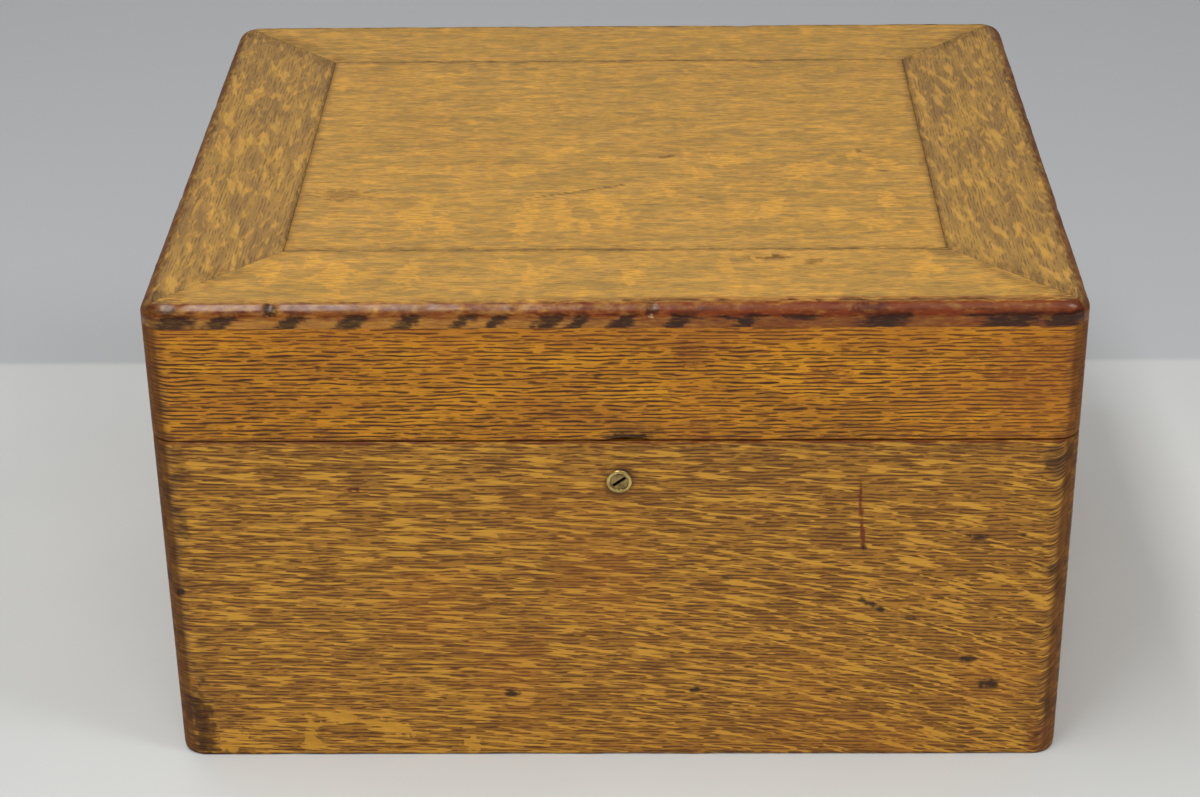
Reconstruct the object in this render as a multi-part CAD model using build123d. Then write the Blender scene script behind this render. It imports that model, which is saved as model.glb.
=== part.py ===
from build123d import *
import math
import os

# Silverware chest in oak, with a hinged lid, a lock and a lift-out tray. Millimetres.
# The origin is the middle of the chest's footprint, on the surface that it stands on.
# +X is the chest's right as one faces it, +Y points to its back and +Z points up.

# Outer sizes
WIDTH = 560.0
DEPTH = 472.0
HEIGHT = 320.0
BOARD = 19.0
CORNER_R = 16.0
EASE = 0.8

# Levels
RIM_Z = 229.5
LID_GAP = 1.0
FRAME_T = 14.0
LID_Z = RIM_Z + LID_GAP
FRAME_Z = HEIGHT - FRAME_T

# Top: four mitred members round a flush panel
FRAME_W = 78.0
TOP_EDGE_R = 8.0
PANEL_T = 12.0
PANEL_GAP = 0.5
PANEL_EASE = 0.4
TONGUE_T = 4.0
TONGUE_L = 6.0
TONGUE_Z = 311.0

# Bottom panel, held in a groove
BOTTOM_Z = 6.0
BOTTOM_T = 9.0
BOTTOM_GROOVE = 6.0

# Splines across the mitres
SPLINE_T = 3.0
SPLINE_W = 12.0
SPLINE_OUT = 9.0
CASE_SPLINE_Z = (18.0, 222.0)
LID_SPLINE_Z = (240.0, FRAME_Z)
TOP_SPLINE_Z = (307.4, 310.4)
TOP_SPLINE_W = 16.0
TOP_SPLINE_L = 76.0

# Cloth-covered card that lines the well and the lid
CARD_T = 1.2
FLOOR_CARD_T = 1.5
LID_PAD_T = 3.0
CARD_DROP = 1.0

# Strips that the tray rests on
BEARER_W = 10.0
BEARER_H = 12.0
BEARER_L = 400.0
TRAY_Z = 175.0

# A worn notch that a blade has left in the lid's lower front edge
CHIP_X = 8.0
CHIP_W = 25.0
CHIP_H = 1.2
CHIP_D = 4.0

# Stopped butt hinges
HINGE_X = 170.0
HINGE_W = 64.0
HINGE_LEAF_D = 16.0
HINGE_LEAF_T = 2.2
HINGE_Z = RIM_Z + LID_GAP / 2
KNUCKLE_R = 3.0
KNUCKLE_OUT = 3.2
HINGE_Y = DEPTH / 2 + KNUCKLE_OUT
KNUCKLES = 5
KNUCKLE_PLAY = 0.15
PIN_R = 1.25
PIN_PLAY = 0.06
RELIEF = 0.25
HEEL_H = 5.5
HEEL_BACK = 4.0
STOP_ANGLE = 47.7
HINGE_SCREWS = (-22.0, 0.0, 22.0)

# Countersunk wood screws
SCREW_HEAD_R = 3.1
SCREW_HEAD_H = 1.7
SCREW_R = 1.5
SCREW_L = 15.0
SCREW_POINT = 3.0
SCREW_SLOT = (0.8, 0.7)

# Lock
LOCK_X = 2.5
LOCK_Z = 202.0
PLATE_T = 2.0
SELVEDGE_W = 76.0
SELVEDGE_D = 13.0
BACK_PLATE_Z = 178.0
LOCK_CASE_W = 64.0
LOCK_CASE_Z = 186.0
LOCK_CASE_FRONT = -228.5
LOCK_WALL = 1.5
BEZEL_R = 7.75
BEZEL_T = 0.8
BEZEL_ROUND = 0.55
BARREL_R = 7.0
PLUG_R = 5.5
PLUG_PLAY = 0.08
PLUG_RECESS = 0.5
KEYWAY = (9.5, 2.0, 9.0)
KEYWAY_TILT = 36.0
CAM_R = 8.0
CAM_T = 1.4
CAM_PLAY = 0.6
CAM_SQUARE = 4.0
TAIL_R = 2.2
DRIVE_PIN_R = 1.5
DRIVE_PIN_AT = 5.5
DRIVE_PIN_L = 3.5
BOLT_Y = -222.6
BOLT_T = 3.0
BOLT_BAR_X = (-29.0, 12.0)
BOLT_BAR_Z = (204.7, 214.5)
BOLT_SLOT = (3.6, 209.5)
BOLT_ARM_W = 3.4
BOLT_ARM_OFF = 13.0
BOLT_NOSE_GAP = 2.5
BOLT_NOSE_Z = (219.5, 223.5)
STAPLE_X = (-16.0, 16.0)
STAPLE_W = 3.0
STAPLE_D = 6.2
STAPLE_Z = 217.5
STAPLE_EYE = (3.9, 219.0, 224.0)
STAPLE_TENON = 3.6
STAPLE_SLOT = (4.2, 7.4)
LEDGE_Z = (200.6, 204.6)
LEDGES_X = ((-28.0, -12.0), (10.0, 28.0))
GUIDE_R = 1.5
GUIDES_X = (-9.0, -2.0)
GUIDE_PLAY = 0.1
LINK_SCREW_X = 32.0
PLATE_SCREWS = ((-34.5, 222.0), (34.5, 222.0), (-34.5, 182.0), (34.5, 182.0))
CARD_CUT = 1.0

# Tray
TRAY_W = 514.0
TRAY_D = 426.0
TRAY_H = 48.0
TRAY_BOARD = 8.0
TRAY_FINGERS = 6
TRAY_BOTTOM_T = 4.0
TRAY_BOTTOM_UP = 4.0
TRAY_GROOVE = 3.0
TRAY_CLOTH_T = 1.0
HANDHOLE = (80.0, 20.0)
HANDHOLE_UP = 32.0
PARTITION_T = 6.0
PARTITION_H = 33.0
HOUSING = 2.0
KNIFE_W = 190.0
KNIFE_D = 262.0
RACK_T = 10.0
RACK_H = 22.0
RACK_Y = (-149.0, 1.0)
KNIVES = 12
KNIFE_PITCH = 15.0
KNIFE_SLOT = (6.0, 10.0)

HALF_W = WIDTH / 2
HALF_D = DEPTH / 2
IN_W = HALF_W - BOARD
IN_D = HALF_D - BOARD
SIDES = ("front", "back", "left", "right")
# How far the quarters of the mitre cut go past the chest, and in from its faces
FAR = 40.0
REACH = FRAME_W + FAR


def block(x, y, z):
    """A box between the given pairs of X, Y and Z."""
    size = Box(x[1] - x[0], y[1] - y[0], z[1] - z[0])
    return Pos((x[0] + x[1]) / 2, (y[0] + y[1]) / 2, (z[0] + z[1]) / 2) * size


def rod_x(radius, x, y, z):
    """A round bar along X between the pair x."""
    turned = Rot(0, 90, 0) * Cylinder(radius, x[1] - x[0])
    return Pos((x[0] + x[1]) / 2, y, z) * turned


def rod_y(radius, y, x, z):
    """A round bar along Y between the pair y."""
    turned = Rot(90, 0, 0) * Cylinder(radius, y[1] - y[0])
    return Pos(x, (y[0] + y[1]) / 2, z) * turned


def wedge(side, z):
    """The quarter of the chest that one side's mitred piece lies in, between the levels z."""
    x, y = HALF_W, HALF_D
    corners = {
        "front": [(-x - FAR, -y - FAR), (x + FAR, -y - FAR), (x - REACH, REACH - y), (REACH - x, REACH - y)],
        "back": [(x + FAR, y + FAR), (-x - FAR, y + FAR), (REACH - x, y - REACH), (x - REACH, y - REACH)],
        "left": [(-x - FAR, y + FAR), (-x - FAR, -y - FAR), (REACH - x, REACH - y), (REACH - x, y - REACH)],
        "right": [(x + FAR, -y - FAR), (x + FAR, y + FAR), (x - REACH, y - REACH), (x - REACH, REACH - y)],
    }[side]
    shape = make_face(Polyline(*corners, close=True))
    return extrude(Pos(0, 0, z[0]) * shape, amount=z[1] - z[0])


def frame_ring(z, inner_w, inner_d):
    """A rectangular ring with the chest's rounded upright corners."""
    outer = Pos(0, 0, z[0]) * RectangleRounded(WIDTH, DEPTH, CORNER_R)
    ring = extrude(outer, amount=z[1] - z[0])
    return ring - block((-inner_w, inner_w), (-inner_d, inner_d), z)


def outline_edges(ring, z):
    """The outer edges of a ring at height z, straight ones and corner arcs."""
    level = ring.edges().filter_by_position(Axis.Z, z, z)
    return [e for e in level if abs(e.center().X) > IN_W or abs(e.center().Y) > IN_D]


def mitre_splines(z, width, length, out):
    """Four thin splines across the mitres, each out along the diagonal from its inner corner."""
    splines = []
    for sx, sy in ((1, 1), (-1, 1), (-1, -1), (1, -1)):
        turn = math.degrees(math.atan2(sy, sx))
        x = sx * (IN_W + out / math.sqrt(2))
        y = sy * (IN_D + out / math.sqrt(2))
        tall = Pos(0, 0, (z[0] + z[1]) / 2) * Box(length, width, z[1] - z[0])
        splines.append(Pos(x, y, 0) * Rot(0, 0, turn) * tall)
    return splines


def wood_screw():
    """A slotted countersunk screw that points down, with its head's top at the origin."""
    neck = -SCREW_HEAD_H
    profile = Polyline(
        (0, 0),
        (SCREW_HEAD_R, 0),
        (SCREW_R, neck),
        (SCREW_R, SCREW_POINT - SCREW_L),
        (0, -SCREW_L),
        close=True,
    )
    solid = revolve(Plane.XZ * make_face(profile), Axis.Z)
    slot_w, slot_h = SCREW_SLOT
    slot = block((-SCREW_HEAD_R, SCREW_HEAD_R), (-slot_w / 2, slot_w / 2), (-slot_h, slot_h))
    return solid - slot


def screw_hole():
    """The hole that a wood screw fills, head and shank."""
    neck = -SCREW_HEAD_H
    profile = Polyline(
        (0, 1),
        (SCREW_HEAD_R, 1),
        (SCREW_HEAD_R, 0),
        (SCREW_R, neck),
        (SCREW_R, SCREW_POINT - SCREW_L),
        (0, -SCREW_L),
        close=True,
    )
    return revolve(Plane.XZ * make_face(profile), Axis.Z)


def place_all(shape, places):
    """A copy of the shape at each place."""
    return [place * shape for place in places]


def cut(solid, tools):
    """The solid with every tool cut away."""
    for tool in tools:
        solid = solid - tool
    return solid


def group(solids):
    """Several separate solids as one node."""
    return Compound(children=[Part(s.wrapped) for s in solids])


# Screw places. The last turn of each sets its slot at an angle of its own.
CASE_HINGE_SCREWS = [
    Pos(side * HINGE_X + dx, HALF_D - HINGE_LEAF_D / 2, RIM_Z) * Rot(0, 0, 20 * dx)
    for side in (-1, 1)
    for dx in HINGE_SCREWS
]
LID_HINGE_SCREWS = [
    Pos(side * HINGE_X + dx, HALF_D - HINGE_LEAF_D / 2, LID_Z) * Rot(180, 0, 15 * dx)
    for side in (-1, 1)
    for dx in HINGE_SCREWS
]
LINK_SCREWS = [
    Pos(LOCK_X + side * LINK_SCREW_X, -IN_D - SELVEDGE_D / 2, LID_Z) * Rot(180, 0, 35 * side)
    for side in (-1, 1)
]
BACK_PLATE_SCREWS = [
    Pos(LOCK_X + dx, -IN_D, z) * Rot(-90, 0, 0) * Rot(0, 0, dx + z)
    for dx, z in PLATE_SCREWS
]
BEARER_SCREWS = [
    Pos(side * (IN_W - CARD_T - BEARER_W), y, TRAY_Z - BEARER_H / 2) * Rot(0, -90 * side, 0)
    for side in (-1, 1)
    for y in (-160.0, 0.0, 160.0)
]


def case_parts():
    """The mitred walls, the bottom panel, the splines and the tray's bearers."""
    parts = {}
    z = (0.0, RIM_Z)
    ring = frame_ring(z, IN_W, IN_D)
    ring = fillet(outline_edges(ring, RIM_Z), EASE)
    ring = fillet(outline_edges(ring, 0.0), EASE)
    reach_w, reach_d = IN_W + BOTTOM_GROOVE, IN_D + BOTTOM_GROOVE
    bottom = block((-reach_w, reach_w), (-reach_d, reach_d), (BOTTOM_Z, BOTTOM_Z + BOTTOM_T))
    splines = mitre_splines(CASE_SPLINE_Z, SPLINE_W, SPLINE_T, SPLINE_OUT)
    ring = cut(ring, [bottom, *splines])
    for side in SIDES:
        parts[f"case_{side}_board"] = ring & wedge(side, z)
    parts["case_bottom_panel"] = bottom
    parts["case_corner_splines"] = group(splines)

    cuts = [hinge_mortise(side * HINGE_X, -1) for side in (-1, 1)]
    cuts += place_all(screw_hole(), CASE_HINGE_SCREWS)
    parts["case_back_board"] = cut(parts["case_back_board"], cuts)
    cuts = [*lock_mortise(), *place_all(screw_hole(), BACK_PLATE_SCREWS)]
    parts["case_front_board"] = cut(parts["case_front_board"], cuts)

    holes = place_all(screw_hole(), BEARER_SCREWS)
    z = (TRAY_Z - BEARER_H, TRAY_Z)
    for side, name in ((-1, "left"), (1, "right")):
        x = sorted((side * (IN_W - CARD_T), side * (IN_W - CARD_T - BEARER_W)))
        bearer = block(x, (-BEARER_L / 2, BEARER_L / 2), z)
        parts[f"tray_bearer_{name}"] = cut(bearer, holes)
        parts[f"case_{name}_board"] = cut(parts[f"case_{name}_board"], holes)
    parts["bearer_screws"] = group(place_all(wood_screw(), BEARER_SCREWS))
    return parts


def well_lining_parts():
    """Cloth-covered cards on the inside of the walls and on the bottom."""
    floor_z = BOTTOM_Z + BOTTOM_T
    z = (floor_z + FLOOR_CARD_T, RIM_Z - CARD_DROP)
    parts = wall_cards("well_lining", z)
    parts["well_lining_floor"] = block((-IN_W, IN_W), (-IN_D, IN_D), (floor_z, z[0]))
    half = SELVEDGE_W / 2 + CARD_CUT
    window = block(
        (LOCK_X - half, LOCK_X + half),
        (-IN_D - CARD_CUT, -IN_D + 2 * CARD_T),
        (BACK_PLATE_Z - CARD_CUT, RIM_Z),
    )
    parts["well_lining_front"] = parts["well_lining_front"] - window
    holes = place_all(screw_hole(), BEARER_SCREWS)
    for name in ("left", "right"):
        parts[f"well_lining_{name}"] = cut(parts[f"well_lining_{name}"], holes)
    return parts


def wall_cards(prefix, z):
    """Four thin cards on the inner faces of a mitred ring, with the side ones between the others."""
    side_y = (-IN_D + CARD_T, IN_D - CARD_T)
    return {
        f"{prefix}_front": block((-IN_W, IN_W), (-IN_D, -IN_D + CARD_T), z),
        f"{prefix}_back": block((-IN_W, IN_W), (IN_D - CARD_T, IN_D), z),
        f"{prefix}_left": block((-IN_W, -IN_W + CARD_T), side_y, z),
        f"{prefix}_right": block((IN_W - CARD_T, IN_W), side_y, z),
    }


def lid_parts():
    """The lid's mitred rails, its mitred top frame with a flush panel, and its lining."""
    parts = {}
    z = (LID_Z, FRAME_Z)
    ring = frame_ring(z, IN_W, IN_D)
    ring = fillet(outline_edges(ring, LID_Z), EASE)
    splines = mitre_splines(LID_SPLINE_Z, SPLINE_W, SPLINE_T, SPLINE_OUT)
    ring = cut(ring, splines)
    for side in SIDES:
        parts[f"lid_{side}_rail"] = ring & wedge(side, z)
    parts["lid_corner_splines"] = group(splines)

    cuts = [hinge_mortise(side * HINGE_X, 1) for side in (-1, 1)]
    cuts += place_all(screw_hole(), LID_HINGE_SCREWS)
    parts["lid_back_rail"] = cut(parts["lid_back_rail"], cuts)
    link_x = (LOCK_X - SELVEDGE_W / 2, LOCK_X + SELVEDGE_W / 2)
    link = block(link_x, (-IN_D - SELVEDGE_D, -IN_D), (LID_Z, LID_Z + PLATE_T))
    cuts = [link, worn_notch(), *place_all(screw_hole(), LINK_SCREWS)]
    parts["lid_front_rail"] = cut(parts["lid_front_rail"], cuts)

    parts.update(top_parts())
    pad_z = FRAME_Z - LID_PAD_T
    parts.update(wall_cards("lid_lining", (LID_Z + CARD_DROP, pad_z)))
    parts["lid_lining_top"] = block((-IN_W, IN_W), (-IN_D, IN_D), (pad_z, FRAME_Z))
    return parts


def top_parts():
    """Four mitred members with a grooved inner edge, and the panel whose tongue lies in it."""
    parts = {}
    z = (FRAME_Z, HEIGHT)
    hole_w, hole_d = HALF_W - FRAME_W, HALF_D - FRAME_W
    ring = frame_ring(z, hole_w, hole_d)
    ring = fillet(outline_edges(ring, HEIGHT), TOP_EDGE_R)
    inner = ring.edges().filter_by_position(Axis.Z, HEIGHT, HEIGHT)
    near = [e for e in inner if abs(e.center().X) <= hole_w and abs(e.center().Y) <= hole_d]
    ring = chamfer(near, PANEL_EASE)
    tongue_z = (TONGUE_Z, TONGUE_Z + TONGUE_T)
    groove_w, groove_d = hole_w + TONGUE_L, hole_d + TONGUE_L
    groove = block((-groove_w, groove_w), (-groove_d, groove_d), tongue_z)
    middle = FRAME_W * math.sqrt(2) / 2 - BOARD * math.sqrt(2)
    splines = mitre_splines(TOP_SPLINE_Z, TOP_SPLINE_W, TOP_SPLINE_L, -middle)
    ring = cut(ring, [groove, *splines])
    for side in SIDES:
        parts[f"top_frame_{side}"] = ring & wedge(side, z)
    parts["top_frame_splines"] = group(splines)

    half_w, half_d = hole_w - PANEL_GAP, hole_d - PANEL_GAP
    panel = block((-half_w, half_w), (-half_d, half_d), (HEIGHT - PANEL_T, HEIGHT))
    panel = chamfer(panel.edges().filter_by_position(Axis.Z, HEIGHT, HEIGHT), PANEL_EASE)
    tongue_w, tongue_d = groove_w - PANEL_GAP, groove_d - PANEL_GAP
    tongue = block((-tongue_w, tongue_w), (-tongue_d, tongue_d), tongue_z)
    parts["top_panel"] = panel + tongue
    return parts


def worn_notch():
    """A shallow scoop, round in front view, in the lid's lower front edge."""
    radius = ((CHIP_W / 2) ** 2 + CHIP_H**2) / (2 * CHIP_H)
    y = (-HALF_D - 1, -HALF_D + CHIP_D)
    return rod_y(radius, y, CHIP_X, LID_Z + CHIP_H - radius)


def hinge_mortise(x, up):
    """The recess for one leaf: up is 1 in the lid's edge and -1 in the case's."""
    edge = LID_Z if up > 0 else RIM_Z
    z = sorted((edge, edge + up * HINGE_LEAF_T))
    return block((x - HINGE_W / 2, x + HINGE_W / 2), (HALF_D - HINGE_LEAF_D, HALF_D + 1), z)


def knuckle_spans(x, own):
    """The lengths of the knuckles on one leaf: the case's are even, the lid's odd."""
    pitch = HINGE_W / KNUCKLES
    first = x - HINGE_W / 2
    spans = []
    for i in range(own, KNUCKLES, 2):
        low = first + i * pitch + (KNUCKLE_PLAY if i > 0 else 0)
        high = first + (i + 1) * pitch - (KNUCKLE_PLAY if i < KNUCKLES - 1 else 0)
        spans.append((low, high))
    return spans


def hinge_leaf(x, up, own, bore_r):
    """A leaf, its knuckles, and a heel whose bevel stops the lid when it meets the other heel's."""
    edge = LID_Z if up > 0 else RIM_Z
    span = (x - HINGE_W / 2, x + HINGE_W / 2)
    plate_z = sorted((edge, edge + up * HINGE_LEAF_T))
    leaf = block(span, (HALF_D - HINGE_LEAF_D, HALF_D), plate_z)
    slope = math.tan(math.radians(STOP_ANGLE))
    step = LID_GAP / 2
    profile = [
        (HALF_D, edge),
        (HALF_D, HINGE_Z + up * HEEL_H),
        (HINGE_Y + HEEL_BACK, HINGE_Z + up * HEEL_H),
        (HINGE_Y + HEEL_BACK, HINGE_Z + up * HEEL_BACK * slope),
        (HINGE_Y + step / slope, edge),
    ]
    face = make_face(Polyline(*[(span[0], y, z) for y, z in profile], close=True))
    heel = extrude(face, amount=HINGE_W, dir=(1, 0, 0))
    spans = knuckle_spans(x, own)
    others = knuckle_spans(x, 1 - own)
    clear = KNUCKLE_PLAY
    relief = [
        rod_x(KNUCKLE_R + RELIEF, (low - 2 * clear, high + 2 * clear), HINGE_Y, HINGE_Z)
        for low, high in others
    ]
    leaf = cut(leaf + heel, relief)
    for low, high in spans:
        leaf = leaf + rod_x(KNUCKLE_R, (low, high), HINGE_Y, HINGE_Z)
    return leaf - rod_x(bore_r, (span[0] - 1, span[1] + 1), HINGE_Y, HINGE_Z)


def hinge_parts():
    """Two stopped butt hinges: a leaf on the case, a leaf on the lid, a pin, and the screws."""
    case, lid = {}, {}
    case_holes = place_all(screw_hole(), CASE_HINGE_SCREWS)
    lid_holes = place_all(screw_hole(), LID_HINGE_SCREWS)
    for side, name in ((-1, "left"), (1, "right")):
        x = side * HINGE_X
        lower = hinge_leaf(x, -1, 0, PIN_R)
        upper = hinge_leaf(x, 1, 1, PIN_R + PIN_PLAY)
        case[f"hinge_{name}_case_leaf"] = cut(lower, case_holes)
        lid[f"hinge_{name}_lid_leaf"] = cut(upper, lid_holes)
        ends = (x - HINGE_W / 2, x + HINGE_W / 2)
        case[f"hinge_{name}_pin"] = rod_x(PIN_R, ends, HINGE_Y, HINGE_Z)
    case["case_hinge_screws"] = group(place_all(wood_screw(), CASE_HINGE_SCREWS))
    lid["lid_screws"] = group(place_all(wood_screw(), LID_HINGE_SCREWS + LINK_SCREWS))
    return {**case, **lid}


def lock_mortise():
    """The recesses for the lock's plate and case, and the hole for its barrel."""
    plate_x = (LOCK_X - SELVEDGE_W / 2, LOCK_X + SELVEDGE_W / 2)
    case_x = (LOCK_X - LOCK_CASE_W / 2, LOCK_X + LOCK_CASE_W / 2)
    return [
        block(plate_x, (-IN_D - SELVEDGE_D, -IN_D), (RIM_Z - PLATE_T, RIM_Z)),
        block(plate_x, (-IN_D - PLATE_T, -IN_D), (BACK_PLATE_Z, RIM_Z)),
        block(case_x, (LOCK_CASE_FRONT, -IN_D), (LOCK_CASE_Z, RIM_Z - PLATE_T)),
        rod_y(BARREL_R, (-HALF_D, LOCK_CASE_FRONT), LOCK_X, LOCK_Z),
    ]


def lock_parts():
    """The lock in the case's front, from its plate to the bolt, and the staples on the lid."""
    parts = {}
    back_y = -IN_D - PLATE_T
    plate_x = (LOCK_X - SELVEDGE_W / 2, LOCK_X + SELVEDGE_W / 2)
    selvedge = block(plate_x, (-IN_D - SELVEDGE_D, -IN_D), (RIM_Z - PLATE_T, RIM_Z))
    plate = selvedge + block(plate_x, (back_y, -IN_D), (BACK_PLATE_Z, RIM_Z - PLATE_T))
    slot_w, slot_d = STAPLE_SLOT
    slots = [
        block(
            (LOCK_X + x - slot_w / 2, LOCK_X + x + slot_w / 2),
            (BOLT_Y - slot_d / 2, BOLT_Y + slot_d / 2),
            (RIM_Z - PLATE_T, RIM_Z),
        )
        for x in STAPLE_X
    ]
    parts["lock_plate"] = cut(plate, [*slots, *place_all(screw_hole(), BACK_PLATE_SCREWS)])
    parts["lock_screws"] = group(place_all(wood_screw(), BACK_PLATE_SCREWS))

    half = LOCK_CASE_W / 2
    front = LOCK_CASE_FRONT
    inside_y = front + PLATE_T
    top = RIM_Z - PLATE_T
    shell = block((LOCK_X - half, LOCK_X + half), (front, back_y), (LOCK_CASE_Z, top))
    hollow = block(
        (LOCK_X - half + LOCK_WALL, LOCK_X + half - LOCK_WALL),
        (inside_y, back_y),
        (LOCK_CASE_Z + LOCK_WALL, top),
    )
    shell = shell - hollow
    for low, high in LEDGES_X:
        shell = shell + block((LOCK_X + low, LOCK_X + high), (inside_y, back_y), LEDGE_Z)
    guide_z = BOLT_BAR_Z[1] + GUIDE_PLAY + GUIDE_R
    for x in GUIDES_X:
        shell = shell + rod_y(GUIDE_R, (inside_y, back_y), LOCK_X + x, guide_z)
    parts["lock_case"] = shell - rod_y(BARREL_R, (front, inside_y), LOCK_X, LOCK_Z)

    bezel_y = -HALF_D - BEZEL_T
    bezel = rod_y(BEZEL_R, (bezel_y, -HALF_D), LOCK_X, LOCK_Z)
    rim = bezel.edges().filter_by(GeomType.CIRCLE).sort_by(Axis.Y)[0]
    bezel = fillet(rim, BEZEL_ROUND)
    barrel = bezel + rod_y(BARREL_R, (-HALF_D, inside_y), LOCK_X, LOCK_Z)
    bore = rod_y(PLUG_R + PLUG_PLAY, (bezel_y - 1, inside_y + 1), LOCK_X, LOCK_Z)
    parts["lock_barrel"] = barrel - bore

    face_y = bezel_y + PLUG_RECESS
    cam_y = (inside_y + CAM_PLAY, inside_y + CAM_PLAY + CAM_T)
    plug = rod_y(PLUG_R, (face_y, inside_y + CAM_PLAY), LOCK_X, LOCK_Z)
    key_w, key_t, key_d = KEYWAY
    keyway = Pos(LOCK_X, face_y, LOCK_Z) * Rot(0, -KEYWAY_TILT, 0) * Box(key_w, 2 * key_d, key_t)
    plug = plug - keyway
    square = CAM_SQUARE / 2
    plug = plug + block((LOCK_X - square, LOCK_X + square), cam_y, (LOCK_Z - square, LOCK_Z + square))
    plug = plug + rod_y(TAIL_R, (cam_y[1], back_y - GUIDE_PLAY * 3), LOCK_X, LOCK_Z)
    parts["lock_plug"] = plug
    cam = rod_y(CAM_R, cam_y, LOCK_X, LOCK_Z)
    cam = cam - block((LOCK_X - square, LOCK_X + square), cam_y, (LOCK_Z - square, LOCK_Z + square))
    pin = DRIVE_PIN_AT / math.sqrt(2)
    cam = cam + rod_y(DRIVE_PIN_R, (cam_y[1], cam_y[1] + DRIVE_PIN_L), LOCK_X - pin, LOCK_Z + pin)
    parts["lock_cam"] = cam
    parts["lock_bolt"] = lock_bolt(pin)
    parts.update(link_parts())
    return parts


def lock_bolt(pin):
    """A flat bolt with two hooks. The cam's pin drives it sideways in a slot in its lower edge."""
    y = (BOLT_Y - BOLT_T / 2, BOLT_Y + BOLT_T / 2)
    bar_x = (LOCK_X + BOLT_BAR_X[0], LOCK_X + BOLT_BAR_X[1])
    bolt = block(bar_x, y, BOLT_BAR_Z)
    for x in STAPLE_X:
        arm = LOCK_X + x - BOLT_ARM_OFF
        bolt = bolt + block((arm, arm + BOLT_ARM_W), y, (BOLT_BAR_Z[0], BOLT_NOSE_Z[1]))
        bolt = bolt + block((arm, LOCK_X + x - BOLT_NOSE_GAP), y, BOLT_NOSE_Z)
    slot_w, slot_top = BOLT_SLOT
    at = LOCK_X - pin
    return bolt - block((at - slot_w / 2, at + slot_w / 2), y, (BOLT_BAR_Z[0] - 1, slot_top))


def link_parts():
    """The plate in the lid's edge and its two staples, which the bolt's hooks go through."""
    parts = {}
    plate_x = (LOCK_X - SELVEDGE_W / 2, LOCK_X + SELVEDGE_W / 2)
    plate = block(plate_x, (-IN_D - SELVEDGE_D, -IN_D), (LID_Z, LID_Z + PLATE_T))
    eye_d, eye_low, eye_high = STAPLE_EYE
    staples, tenons = [], []
    for at in STAPLE_X:
        x = (LOCK_X + at - STAPLE_W / 2, LOCK_X + at + STAPLE_W / 2)
        loop = block(x, (BOLT_Y - STAPLE_D / 2, BOLT_Y + STAPLE_D / 2), (STAPLE_Z, LID_Z))
        loop = loop - block(x, (BOLT_Y - eye_d / 2, BOLT_Y + eye_d / 2), (eye_low, eye_high))
        half = STAPLE_TENON / 2
        tenon = block(x, (BOLT_Y - half, BOLT_Y + half), (LID_Z, LID_Z + PLATE_T))
        tenons.append(tenon)
        staples.append(loop + tenon)
    parts["lock_link_plate"] = cut(plate, [*tenons, *place_all(screw_hole(), LINK_SCREWS)])
    parts["lock_staples"] = group(staples)
    return parts


def tray_parts():
    """The lift-out tray: finger-jointed boards, a bottom, partitions and two knife racks."""
    parts = {}
    out_x, out_y = TRAY_W / 2, TRAY_D / 2
    in_x, in_y = out_x - TRAY_BOARD, out_y - TRAY_BOARD
    z = (TRAY_Z, TRAY_Z + TRAY_H)
    floor_z = (TRAY_Z + TRAY_BOTTOM_UP, TRAY_Z + TRAY_BOTTOM_UP + TRAY_BOTTOM_T)
    cloth_z = (floor_z[1], floor_z[1] + TRAY_CLOTH_T)
    bottom_x = (-in_x - TRAY_GROOVE, in_x + TRAY_GROOVE)
    bottom_y = (-in_y - TRAY_GROOVE, in_y + TRAY_GROOVE)
    bottom = block(bottom_x, bottom_y, floor_z)
    parts["tray_bottom"] = bottom
    parts["tray_lining"] = block((-in_x, in_x), (-in_y, in_y), cloth_z)

    partitions = tray_partitions(in_x, in_y, cloth_z[1])
    housed = list(partitions.values())
    for side, name in ((-1, "front"), (1, "back")):
        y = sorted((side * out_y, side * in_y))
        board = block((-out_x, out_x), y, z)
        board = cut(board, finger_gaps(out_x, in_x, y, z, 1))
        parts[f"tray_{name}"] = cut(board, [bottom, *housed])
    for side, name in ((-1, "left"), (1, "right")):
        x = sorted((side * out_x, side * in_x))
        board = block(x, (-out_y, out_y), z)
        gaps = finger_gaps(out_x, in_x, (-out_y, -in_y), z, 0)
        gaps += finger_gaps(out_x, in_x, (in_y, out_y), z, 0)
        hole = Plane.YZ * SlotOverall(*HANDHOLE)
        hole = Pos(x[0] - 1, 0, TRAY_Z + HANDHOLE_UP) * extrude(hole, amount=TRAY_BOARD + 2)
        parts[f"tray_{name}_end"] = cut(board, [*gaps, hole, bottom, *housed])
    parts.update(partitions)

    left = -in_x
    for y, name in zip(RACK_Y, ("front", "back")):
        parts[f"knife_rack_{name}"] = knife_rack(left, y, cloth_z[1])
    return parts


def finger_gaps(out_x, in_x, y, z, first):
    """The gaps between the fingers at both ends of a board: every second one, from first."""
    pitch = (z[1] - z[0]) / TRAY_FINGERS
    gaps = []
    for i in range(first, TRAY_FINGERS, 2):
        level = (z[0] + i * pitch, z[0] + (i + 1) * pitch)
        gaps.append(block((-out_x, -in_x), y, level))
        gaps.append(block((in_x, out_x), y, level))
    return gaps


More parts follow.
